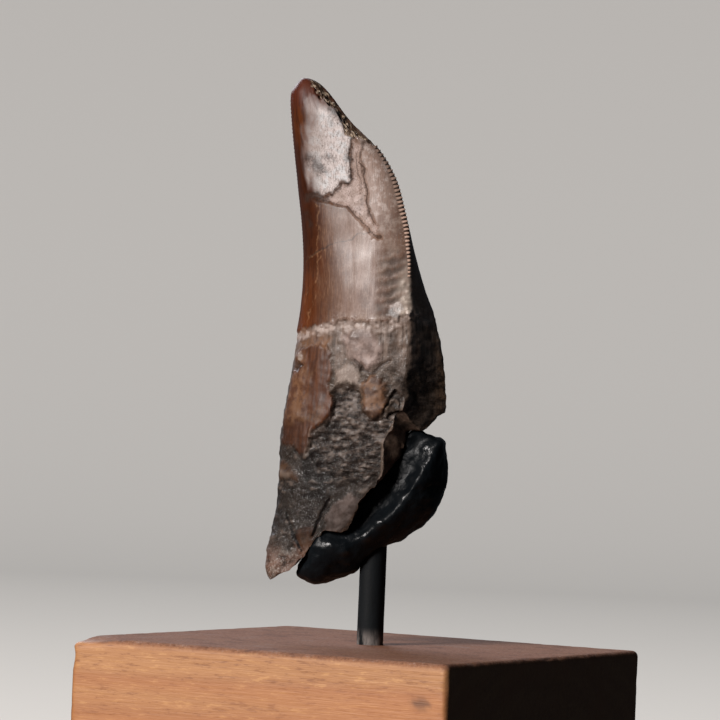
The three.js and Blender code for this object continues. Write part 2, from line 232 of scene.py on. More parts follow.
def calmSpikes(piece, points, limit, rounds=3):
    # a point that stands off its neighbours by more than the limit goes to their middle
    ends = np.array([edge.vertices[:] for edge in piece.data.edges])
    for _ in range(rounds):
        middle = np.zeros(points.shape)
        np.add.at(middle, ends[:, 0], points[ends[:, 1]])
        np.add.at(middle, ends[:, 1], points[ends[:, 0]])
        middle /= np.bincount(ends.ravel(), minlength=len(points))[:, None]
        spike = np.linalg.norm(points - middle, axis=1) > limit
        points = np.where(spike[:, None], middle, points)
    return points


def keep(piece, name, values):
    # a number or a vector for each vertex, for the material to read
    kind, slot = ("FLOAT", "value") if values.ndim == 1 else ("FLOAT_VECTOR", "vector")
    layer = piece.data.attributes.new(name, kind, "POINT")
    layer.data.foreach_set(slot, values.astype(np.float32).ravel())


def shadeSmooth(piece):
    piece.data.polygons.foreach_set("use_smooth", [True] * len(piece.data.polygons))


def finishPiece(piece, material, node, sharp=40):
    shadeSmooth(piece)
    piece.data.set_sharp_from_angle(angle=math.radians(sharp))
    piece.data.materials.clear()
    piece.data.materials.append(material)
    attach(piece, "root")
    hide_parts(node)


def linear(code):
    # an sRGB hex colour as linear RGBA
    parts = [int(code[i:i + 2], 16) / 255 for i in (1, 3, 5)]
    return [p / 12.92 if p <= 0.04045 else ((p + 0.055) / 1.055) ** 2.4 for p in parts] + [1]


def newMaterial(name):
    made = bpy.data.materials.new(name)
    made.use_nodes = True
    made.node_tree.nodes.clear()
    return made, made.node_tree


def addNode(tree, kind, inputs=None, **settings):
    # a node with its settings; an input is a number, a colour or the socket that feeds it
    made = tree.nodes.new("ShaderNode" + kind)
    for name, value in settings.items():
        setattr(made, name, value)
    for name, value in (inputs or {}).items():
        if isinstance(value, bpy.types.NodeSocket):
            tree.links.new(value, made.inputs[name])
        else:
            made.inputs[name].default_value = linear(value) if isinstance(value, str) else value
    return made


view = {
    "lens": 200, "sensor": 36,  # mm
    "distance": 756.5,  # mm from the foot of the pin
    "azimuth": 28.97, "elevation": 3.31,  # degrees, of the camera seen from there
    "heading": 29.28, "pitch": 0.75, "roll": 2.40,  # degrees, of its line of sight
}
stage = {  # metres and degrees
    "floorRadius": 1.3, "coveRadius": 0.7, "height": 2.4, "sides": 96, "coveStep": 7.5,
    "paint": "#cfccc8", "roomLight": "#b8c4d2", "roomStrength": 0.052,
    "aim": 0.09,  # the height that the lamps face
}
lamps = {  # degrees, metres and watts
    "window": {"azimuth": -16, "elevation": 21, "distance": 1.6, "size": 0.5, "power": 40,
               "tint": "#fff9f6"},
    "backLight": {"azimuth": 232, "elevation": 32, "distance": 1.6, "size": 1, "power": 20,
                  "tint": "#eef3ff"},
    "wallLight": {"azimuth": 0, "elevation": 90, "distance": 2.2, "size": 2.6, "power": 52,
                  "tint": "#ffffff"},
}


def direction(azimuth, elevation):
    a, e = math.radians(azimuth), math.radians(elevation)
    return Vector((math.sin(a) * math.cos(e), -math.cos(a) * math.cos(e), math.sin(e)))


def makeCamera():
    heading, pitch, roll = (math.radians(view[k]) for k in ("heading", "pitch", "roll"))
    ahead = Vector((-math.sin(heading) * math.cos(pitch), math.cos(heading) * math.cos(pitch),
                    math.sin(pitch)))
    right = Vector((math.cos(heading), math.sin(heading), 0))
    up = right.cross(ahead)
    right, up = (right * math.cos(roll) + up * math.sin(roll),
                 up * math.cos(roll) - right * math.sin(roll))
    place = foot + direction(view["azimuth"], view["elevation"]) * view["distance"] * millimetre
    camera = bpy.data.objects.new("camera", bpy.data.cameras.new("camera"))
    camera.matrix_world = Matrix.Translation(place) @ Matrix((right, up, -ahead)).transposed().to_4x4()
    camera.data.lens, camera.data.sensor_width = view["lens"], view["sensor"]
    bpy.context.scene.collection.objects.link(camera)
    bpy.context.scene.camera = camera


def makeStage():
    # a round floor that curves up into a wall, so every side has the same plain background
    flat, cove, step = stage["floorRadius"], stage["coveRadius"], stage["coveStep"]
    outline = [(r, 0) for r in (0.0, 0.2, 0.5, 0.9, flat)]
    turns = np.radians(np.arange(step, 91, step))
    outline += [(flat + cove * math.sin(a), cove - cove * math.cos(a)) for a in turns]
    outline.append((flat + cove, stage["height"]))
    turn = np.linspace(0, 2 * math.pi, stage["sides"], endpoint=False)
    rings = np.array([[(r * math.cos(t), r * math.sin(t), h) for t in turn] for r, h in outline])
    floor = makePiece("floor", rings.reshape(-1, 3), gridFaces(len(outline), len(turn)), Matrix())
    shadeSmooth(floor)
    paint, tree = newMaterial("studio paint, matt")
    soft = addNode(tree, "BsdfDiffuse", {"Color": stage["paint"]})
    addNode(tree, "OutputMaterial", {"Surface": soft.outputs[0]})
    floor.data.materials.append(paint)
    floor.visible_diffuse = floor.visible_glossy = False  # the room stays dark to the object


def makeLights():
    for name, lamp in lamps.items():
        made = bpy.data.objects.new(name, bpy.data.lights.new(name, "AREA"))
        made.data.size, made.data.energy = lamp["size"], lamp["power"]
        made.data.color = linear(lamp["tint"])[:3]
        towards = direction(lamp["azimuth"], lamp["elevation"])
        made.location = Vector((0, 0, stage["aim"])) + towards * lamp["distance"]
        made.rotation_euler = towards.to_track_quat("Z", "Y").to_euler()
        made.visible_camera = False
        bpy.context.scene.collection.objects.link(made)
    # the wall light falls on the paint alone, and the back light on everything but the paint
    for name, group, state in (("wallLight", "paint only", "INCLUDE"),
                               ("backLight", "all but paint", "EXCLUDE")):
        receivers = bpy.data.collections.new(group)
        receivers.objects.link(bpy.data.objects["floor"])
        receivers.collection_objects[0].light_linking.link_state = state
        bpy.data.objects[name].light_linking.receiver_collection = receivers
    bpy.context.scene.view_settings.view_transform = "Standard"
    world = bpy.data.worlds.new("room")
    world.use_nodes = True
    world.node_tree.nodes.clear()
    light = addNode(world.node_tree, "Background",
                    {"Color": stage["roomLight"], "Strength": stage["roomStrength"]})
    addNode(world.node_tree, "OutputWorld", {"Surface": light.outputs[0]})
    bpy.context.scene.world = world


makeCamera()
makeStage()
makeLights()
print("camera, stage and light are set")


farAway = 9.0  # mm, of whatever is out of reach
diagonal = math.sqrt(0.5)
tipHeight = 106.2
tooth = {
    "lowEnd": 8, "rowStep": 0.285, "columns": [165, 125],  # columns on the tongue and the cheek side
    # outlines of the broad side, [depth below the tip, x]
    "rearEdge": [[0, -16.7], [1.2, -18.2], [3.1, -19.2], [9.7, -18.7], [19.1, -17.4], [28.6, -16.1],
        [36.1, -15.6], [43.7, -15.9], [48.4, -16.5], [55.1, -17.2], [67.4, -18.8], [79.7, -19],
        [91.5, -20.6], [94.4, -20.2], [96.6, -18.6], [98.2, -16]],
    "frontEdge": [[0, -16.7], [0.8, -14.1], [4.6, -10.4], [8.3, -7.3], [12.8, -2.5], [18.4, 1.1],
        [24.9, 3.3], [31.8, 5.3], [38.9, 7.6], [45.4, 10.2], [54.8, 12.1], [61.8, 12.5], [71.2, 12],
        [79.2, 9], [86.2, 2], [98.2, -13]],
    "halfDepth": [[0, 0], [1, 1.9], [4.6, 3.5], [11.6, 5.4], [26.2, 7.2], [46.2, 9.3], [60, 9.8],
        [76.2, 8.6], [86.2, 6.5], [98.2, 2.5]],
    "lean": [[0, -2.4], [15, -1.8], [46.2, -0.2], [61.2, 0.3], [98.2, 1]],
    # by height: degrees round to the front cutting edge, slant of the sections, and their corners
    "frontCarina": [[106, 0], [93, -10], [88, -14], [84, -18], [80, -24], [76, -33], [72, -40], [68, -48],
        [64, -55], [60, -58.5], [52, -63.5], [44, -67.5], [36, -70], [20, -68]],
    "rearCarina": 160,
    "mesialFlat": [[80, 0], [68, 0.05], [58, 0.12], [46, 0.17], [34, 0.12], [22, 0]],
    "slant": [[106, 0.15], [100, 0.35], [94, 0.55], [86, 0.62], [78, 0.55], [70, 0.47], [62, 0.42],
        [35, 0.35], [8, 0.2]],
    "flatness": [[106, 0.2], [98, 0.6], [86, 0.9], [76, 0.5], [66, 0.1], [60, 0]],  # of the tongue side
    "frontCorner": [[106, 0.2], [92, 0.24], [84, 0.22], [74, 0.18], [60, 0.19], [44, 0.18], [30, 0.1],
        [8, 0.02]],
    "rearCorner": [[106, 0.16], [60, 0.14], [44, 0.08], [8, 0.03]],
    "cornerWidth": 0.38, "cornerRound": 0.05,
    "enamelStep": 0.28,
    "enamelLine": [[-16, 58.4], [-12, 59.9], [-5, 60.8], [0, 60.5], [5, 62.6], [12, 62]],
}
denticles = {  # rows on the two cutting edges; reach is how far a bar runs onto each side
    "front": {"low": 69.5, "high": 93.6, "count": 34, "rise": 0.28, "reach": [1.05, 0.85], "along": 0.22,
              "worn": 0.35, "wornOver": 15},  # size of the lowest bars, and how far up they are worn
    "rear": {"low": 62, "high": 102, "count": 56, "rise": 0.14, "reach": [0.5, 0.6], "along": 0.22,
             "worn": 0.6, "wornOver": 8},
}
fracture = {  # along the break and out from the tooth, at 45 degrees
    "profile": [[-9, -21.6], [-5.4, -21.7], [0.3, -20.6], [7.3, -21.8], [8.6, -21.3], [10.2, -19.4],
        [11.2, -19.1], [15.1, -20.1], [17.1, -21.3], [23, -21.6], [27.8, -22.3], [30.8, -23.7], [33, -24.6],
        [34.9, -22.9], [38.2, -23.1], [40.2, -22.6], [48, -22]],
    "bevel": [[21, 0], [24, 0.6], [27.8, 4.1], [31, 3.5], [34.8, 4.6], [36.4, 1], [38, 0]],
    "bevelFrom": 5.7, "bevelTo": 8.5, "halfWidth": 13, "step": 0.38, "depth": 40,
    "rough": 0.35, "grainSize": 1.6, "grain": 0.16, "cellSize": 1.3, "cellRise": 0.22,
}

rearX, frontX = (byDepth(tooth[k], tipHeight) for k in ("rearEdge", "frontEdge"))
depthAt, leanAt = (byDepth(tooth[k], tipHeight) for k in ("halfDepth", "lean"))
carinaTurn, slantAt = byHeight(tooth["frontCarina"]), byHeight(tooth["slant"])
flatnessAt, mesialFlatAt = byHeight(tooth["flatness"]), byHeight(tooth["mesialFlat"])
frontCorner, rearCorner = byHeight(tooth["frontCorner"]), byHeight(tooth["rearCorner"])
enamelEdge = curveThrough(tooth["enamelLine"])
profileAt, bevelAt = curveThrough(fracture["profile"]), curveThrough(fracture["bevel"])
rearTurn = math.radians(tooth["rearCarina"])


def unitSection(z, angle):
    # a slanted oval drawn out to a corner at each cutting edge, flat in front of the front one
    reach = np.radians(carinaTurn(z)) / 2 - 0.02
    turned = np.arctan2(np.sin(angle - reach), np.cos(angle - reach)) / reach
    radius = 1 - mesialFlatAt(z) * np.maximum(0, 1 - turned ** 2)
    for at, share in ((np.radians(carinaTurn(z)), frontCorner(z)), (rearTurn, rearCorner(z))):
        away = np.arctan2(np.sin(angle - at), np.cos(angle - at))
        radius = radius + share * np.exp(-np.hypot(away, tooth["cornerRound"]) / tooth["cornerWidth"])
    across, up = radius * np.cos(angle), radius * np.sin(angle)
    tongue = np.maximum(-up, 0)
    flat = 1 - np.maximum(1 - tongue, 0) ** (1 + flatnessAt(z)) + np.maximum(tongue - 1, 0)
    return across, np.where(up < 0, -flat, up) - slantAt(z) * across


def sectionRange(z):
    # lowest and highest u and v of the unit section at each height
    u, v = unitSection(z[:, None], np.radians(carinaTurn(z)[:, None] + np.arange(0, 360, 0.5)[None]))
    return u.min(1), u.max(1), v.min(1), v.max(1)


def sectionPlace(z, angle):
    # x and y of the plain form, for heights (n) and directions (n, m)
    lowU, highU, lowV, highV = (a[:, None] for a in sectionRange(z))
    u, v = unitSection(z[:, None], angle)
    rear, front = rearX(z)[:, None], frontX(z)[:, None]
    x = mixed(rear, front, (u - lowU) / (highU - lowU))
    y = leanAt(z)[:, None] + depthAt(z)[:, None] * (2 * (v - lowV) / (highV - lowV) - 1)
    return x, y


rangeHeights = np.arange(6, tipHeight, 0.5)
rangeTable = sectionRange(rangeHeights)


def directionAt(x, y, z):
    # the direction in its section that a point faces
    lowU, highU, lowV, highV = (np.interp(z, rangeHeights, row) for row in rangeTable)
    rear, front = rearX(z), frontX(z)
    u = mixed(lowU, highU, np.clip((x - rear) / np.maximum(front - rear, 0.1), 0, 1))
    share = ((y - leanAt(z)) / np.maximum(depthAt(z), 0.1) + 1) / 2
    up = mixed(lowV, highV, share) + slantAt(z) * u
    tongue = np.clip(-up, 0, 1)
    rounded = 1 - (1 - tongue) ** (1 / (1 + flatnessAt(z)))
    return np.arctan2(np.where(up < 0, -rounded, up), u)


def fractureOut(along, y):
    bevelled = (-y - fracture["bevelFrom"]) / (fracture["bevelTo"] - fracture["bevelFrom"])
    rough = fracture["rough"] * unevenness(along, y, 0.6) * smooth(np.abs(y), 0.5, 4)
    return profileAt(along) - bevelAt(along) * np.clip(bevelled, 0, 1) + rough


# marks on the tooth. Outlines and lines are (x, z), from either side

# outline, how far it stands out, width of its rim, and the finish that it has
tonguePatches = {
    "paleEnamel": ([(-15.6, 103.4), (-13, 102), (-11.1, 100.6), (-9.9, 98.8), (-9.2, 97.2), (-8.8, 95.9),
        (-7.4, 95), (-7.7, 93.6), (-7.8, 92.6), (-7.9, 91.3), (-7.2, 89.3), (-6.8, 87.6), (-7.2, 86.4),
        (-8, 86.2), (-8.7, 87), (-10.4, 84.6), (-13, 84), (-16.5, 85), (-17.5, 92), (-17.5, 100)], 0.05,
        0.4, "pale"),
    "spall": ([(-7.2, 95), (-5.5, 93), (-5.4, 90), (-4.5, 87.2), (-4.1, 82.5), (-2.9, 80.1), (-1.7, 77.4),
        (-2.4, 76.5), (-3.6, 78), (-5.5, 80), (-7.7, 82.2), (-10.5, 82.6), (-13, 83.3), (-10.4, 84.3),
        (-8.7, 86.6), (-8, 85.8), (-7.2, 86), (-6.6, 87.4), (-7, 89.3), (-7.6, 91.3)], -0.07, 0.5, "spall"),
    "worn": ([(-15.7, 105.3), (-14.8, 104), (-13, 101.9), (-11.1, 100.8), (-9.9, 99.2), (-9.2, 97.6),
        (-8.8, 96.2), (-7.4, 95), (-6, 95.2), (-3.6, 93.9), (1, 94), (-4, 104), (-12, 109)], -0.45, 0.5,
        "worn"),
    "spongy": ([(-9.4, 47), (-8.3, 47.9), (-6.3, 48.4), (-4.8, 48), (-4, 47.2), (-3.4, 44), (-1, 42.2),
        (1.2, 43.2), (4.3, 45), (2, 40.4), (0.7, 37.8), (0.8, 32.8), (-2.1, 29.8), (-5.9, 31), (-8, 31.5),
        (-10.7, 32.8), (-13.6, 35.5), (-13.1, 38.1), (-10.3, 40.6), (-8.8, 43.5)], -0.55, 0.5, "spongy"),
    "strip": ([(-24, 56.5), (-16.5, 54.8), (-13, 56.2), (-10.4, 56), (-9.6, 53.5), (-9.2, 51), (-10, 48),
        (-8.8, 45.8), (-9, 43), (-10.6, 41.2), (-12.5, 40), (-13, 38.4), (-13.4, 35.8), (-14.2, 34.6),
        (-15.4, 36.8), (-24, 37.6)], 0.35, 0.5, "polished"),
    "stripFacet": ([(-20, 53), (-16.4, 53.6), (-14.8, 54), (-14, 51), (-14.2, 48), (-13.7, 45), (-14.4, 42),
        (-16.9, 41), (-20, 41.5)], 0.28, 2.2, "tan"),
    "brownRoot": ([(-20, 60.4), (-16, 60), (-13.4, 58.8), (-9.8, 57.4), (-10.2, 55.2), (-13, 56),
        (-20, 55.4)], 0.05, 1.4, "tan"),
    "leftLump": ([(-20, 34.5), (-17, 33.8), (-15, 31.3), (-15.3, 30.1), (-17.2, 30.8), (-19.6, 30)], 0.35,
        1, "tan"),
    "tongue": ([(-3.6, 49.2), (-1.3, 50.6), (0.9, 49), (1, 45.3), (0.2, 43.4), (-1.2, 42.6), (-2.9, 43.7)],
        0.6, 1.1, "tan"),
    "paleKnob": ([(-8.6, 48.4), (-8.3, 51.1), (-6.8, 52.4), (-4.7, 52.3), (-3.9, 50.9), (-3.8, 48.4),
        (-5.7, 48.8), (-7, 49.3)], 0.4, 1.2, "pale"),
    "smoothRoot": ([(-7.4, 57.6), (-5, 59), (-1.6, 58.6), (-0.4, 56), (-0.6, 53), (-2.6, 51.6), (-4.4, 53),
        (-6.6, 54.8)], 0.3, 1.8, "pink"),
    "hollow": ([(1.1, 45.3), (1.5, 47.3), (2.9, 47.9), (4.5, 46.9), (4.2, 45.2), (2.6, 44.6)], -0.7, 0.6,
        "dark"),
    "greyBone": ([(-14.6, 35.3), (-10.8, 36.3), (-7.8, 32.2), (-8.6, 27.1), (-13.2, 26.9)], -0.1, 0.8,
        "grey"),
    "lowerFlake": ([(-9.3, 23.3), (-7.8, 26.2), (-4.9, 28.4), (-3, 26.6), (-4, 23.7), (-6.5, 21),
        (-8.9, 21)], 0.35, 0.9, "pink"),
    "tipSplinter": ([(-19.4, 16.2), (-18.2, 15.2), (-17.4, 13.6), (-18, 12.2), (-19.2, 12.6)], 0.3, 0.7,
        "pale"),
    "orangeFlake": ([(-14.6, 21.6), (-11.6, 21.8), (-11.2, 18.6), (-13.4, 16), (-15, 18)], 0.2, 0.5,
        "polished"),
    "darkChip": ([(-17.5, 53.4), (-15.6, 52.8), (-14.4, 51.9), (-15.6, 51.2), (-17.6, 51.8)], -0.35, 0.4,
        "dark"),
    "blueChip": ([(0.6, 62.2), (1.4, 63.6), (2.8, 64.2), (3.5, 63.4), (2.4, 61.9)], 0.08, 0.6, "pale"),
    "whiteChip": ([(-16.4, 53.9), (-15.4, 54.7), (-14.8, 54), (-15.3, 52.9)], 0.3, 0.3, "pale"),
}
cheekPatches = {
    "paleEnamel": ([(-15.6, 101), (-12, 100), (-9.5, 96), (-8, 90), (-6.4, 86), (-8.6, 81), (-12, 79.5),
        (-14.2, 84), (-14.6, 92)], 0.1, 0.3, "pale"),
    "spall": ([(-6, 93), (-3.4, 89), (-1.5, 82), (-3, 77.5), (-6.4, 79), (-6.2, 85)], -0.25, 0.35, "spall"),
    "worn": ([(-13, 105), (-9.6, 100), (-6.5, 96.6), (-3.6, 93.9), (1, 94), (-4, 104), (-10, 109)], -0.4,
        0.5, "worn"),
    "spongy": ([(-11, 44), (-6, 46), (0, 43), (4, 38), (2, 30), (-6, 27), (-12, 31), (-13.4, 38)], -0.6,
        0.6, "spongy"),
    "strip": ([(2, 57), (7, 58), (16, 57), (16, 45), (8, 42), (4, 46), (3, 51)], 0.4, 0.6, "polished"),
    "flank": ([(-14, 55), (-8, 57), (-5, 52), (-7, 47.5), (-12, 46.5), (-15, 49)], 0.4, 0.8, "tan"),
    "lowerFlake": ([(-18, 30), (-13.6, 29), (-12.4, 24), (-15, 19), (-19, 20)], 0.3, 0.5, "pink"),
}
# line, half width and depth
tongueCracks = [
    ([(-13.7, 83.4), (-12.8, 83.2), (-10.5, 82.7), (-7.7, 82.2), (-5.5, 80), (-3.6, 78.2), (-2.3, 76.8),
        (-1.4, 76.7)], 0.15, 0.04),
    ([(-5.1, 93), (-5.7, 92.4), (-5.6, 91.1), (-5.8, 90.3), (-4.6, 89.4), (-4.7, 87.7), (-4.1, 85.5),
        (-4, 82.5), (-2.9, 80.1), (-1.9, 78.4)], 0.12, 0.03),
    ([(-6.2, 93.4), (-6.4, 91), (-6, 88.8), (-5.2, 86.6), (-5.4, 84.8)], 0.1, 0.02),
    ([(-7.4, 95.2), (-7.6, 93), (-7.9, 91.3), (-7.3, 89.3), (-6.9, 87.4), (-7.5, 86.3), (-8.4, 86.3),
        (-9.4, 86.2), (-10.6, 84.8), (-12.2, 84.2)], 0.13, 0.03),
    ([(-2.2, 76.8), (-1.5, 76.6), (-0.9, 76.7)], 0.3, 0.1),
    ([(-16.4, 71), (-15.5, 71.7), (-12.4, 73.9), (-10, 75.3), (-8.2, 75.6), (-6.5, 76.1), (-5.4, 77.2),
        (-3.2, 77.4)], 0.14, 0),
    ([(-16.9, 24.4), (-15.9, 21.4), (-14.7, 19.2), (-13.5, 17.2)], 0.28, 0.4),
    ([(-8.8, 27.2), (-10, 24.7), (-10.8, 22.6), (-11.6, 20.2)], 0.28, 0.4),
    ([(-5, 53.6), (-3.6, 52), (-2.3, 51.3), (-1.5, 51), (0.1, 52.7), (1.6, 53.6)], 0.3, 0.25),
    ([(-9.2, 47.2), (-8.3, 48.3), (-6.3, 48.8), (-4.8, 48.3), (-3.8, 47.4)], 0.28, 0.3),
    ([(-8.9, 43.2), (-10.6, 41), (-12.4, 39.8), (-13, 38), (-13.5, 35.6)], 0.25, 0.25),
    ([(-3.2, 43.4), (-1.2, 42.2), (0.6, 43.4), (1.3, 45.6)], 0.3, 0.25),
]
cheekCracks = [
    ([(-9, 99), (-8.4, 92), (-7.4, 84), (-7.6, 76), (-6.2, 68), (-6.6, 60), (-5.8, 52)], 0.14, 0.08),
    ([(-7.6, 76), (-4, 73), (0, 72.4), (3, 69.6)], 0.12, 0.06),
    ([(-15, 68), (-11, 66.5), (-6.3, 67.5)], 0.1, 0.05),
    ([(3, 57), (3.4, 50), (6, 44), (5, 38)], 0.24, 0.3),
    ([(-13, 45), (-15, 38), (-14, 31), (-16, 24)], 0.2, 0.3),
]
# dark stains, with painted shade along the torn edges of the pale patch and the spall, and light veins in
# the enamel: line, half width and strength
stainsAndEdgeShade = [
    ([(-15.2, 83.6), (-13.6, 83.9), (-12, 83.3)], 0.9, 1), ([(-15.4, 80.6), (-14.6, 78.4)], 0.5, 0.7),
    ([(-12.8, 83.6), (-10.4, 84.4), (-8.6, 86.4), (-7.4, 86.2)], 0.45, 0.9),
    ([(-6.9, 87.4), (-7.3, 89.3), (-7.8, 91.4), (-7.6, 93), (-7.2, 95)], 0.5, 1),
    ([(-5.2, 94), (-5.5, 91), (-4.6, 88), (-4.2, 84), (-3.4, 80.6)], 0.35, 0.7),
    ([(-15.4, 91), (-14, 90), (-12.7, 89.2)], 1.1, 0.85), ([(-12.6, 91.2), (-10.8, 91)], 0.6, 0.6),
    ([(-13.9, 99.8), (-12.4, 98.6), (-11, 97.6)], 0.9, 0.45), ([(-12, 100.6), (-10.5, 99.4)], 0.5, 0.6),
    ([(-10, 82), (-6, 81.3), (-4.6, 84)], 0.8, 0.3), ([(1, 71), (3.4, 72.4)], 1, 0.4),
    ([(-0.6, 63.2), (1.6, 62.2)], 0.8, 0.6),
]
veins = [
    ([(-13.1, 82.2), (-13.4, 80), (-12.9, 77), (-13, 74.3), (-12.7, 71.5), (-13.3, 68.1), (-13.2, 65.4),
        (-13.8, 62.5), (-14.4, 58.7)], 0.12, 0.75),
    ([(-16.6, 70.2), (-15.2, 71.8), (-13, 73.3), (-11.4, 74.2)], 0.09, 0.9),
    ([(-14.6, 66.6), (-15, 63.4), (-15.6, 60.6)], 0.09, 0.7),
    ([(-12.8, 72.2), (-12.2, 72.6), (-12, 73)], 0.12, 0.9),
]
# raised lines: line, half width and rise
tongueRidges = [
    ([(5.4, 47.2), (4.7, 45.8), (3.3, 42.9), (2.3, 40.4), (1.1, 38.2), (0.9, 35.9), (1.1, 32.5),
        (0.3, 31.2)], 0.45, 0.35),
    ([(1.2, 44.5), (1.8, 45.9), (2.7, 46.2), (3.6, 45.6)], 0.35, 0.45),
    ([(-12.8, 40), (-13.1, 37.4), (-13.9, 34.8)], 0.4, 0.25),
    ([(-19.4, 33.4), (-18.4, 31.6), (-17, 31.3)], 0.8, 0.5),
]
ripple = {"low": 60.5, "high": 76, "x": 2, "halfWidth": 3.8, "pitch": 1.9, "height": 0.05}
zones = {  # heights between which each look sets in, or ends
    "tip": (98.5, 103.5), "high": (74, 85), "crest": (50, 60), "crestEnd": (93, 98), "edgeKnobs": (54, 56),
    "deep": (66, 76), "deepEnd": (90, 98), "upper": (50, 57), "calmRoot": (49, 55),
    "lowCrackEnd": (28, 31), "low": (14, 20), "lowEnd": (22, 44), "lowTipEnd": (13, 20),
}
crackRim = {"from": 0.15, "to": 0.55, "blur": 0.1, "fullFrom": 0.03}  # mm; deeper cracks have a full rim
relief = {  # mm; a size goes with the height of the bumps that have it
    "jagSize": 1.5, "jag": 0.35, "swaySize": 4, "sway": 0.25,  # of the outlines and lines
    "knobSize": 0.95, "knob": 0.2, "edgeKnob": 0.16, "vein": 0.05,
    "wrinkleSize": 0.9, "wrinkle": 0.012, "waveSize": 6, "wave": 0.025,
    "spallSize": 0.8, "spall": 0.03, "gritSize": 0.85, "grit": 0.3,
    "lumpSize": 4.5, "lump": 0.16, "roughSize": 1.7, "rough": 0.13,
    "fibreSize": 0.8, "fibre": 0.04, "foldSize": 1.1, "fold": 0.26,
}
# a low crest down the tongue side: the enamel in front of it is duller
crestAt = byHeight([[97, -3.4], [93, -2], [85.4, -1.3], [76, -1.6], [68, -1.9], [59, -1.9], [52, -1.6]])
crestRise, crestReach = 0.3, 5


def calmest(masks):
    # where the bone is worn or polished smooth
    return np.maximum.reduce([masks[name] for name in ("polished", "pink", "tan", "pale")])


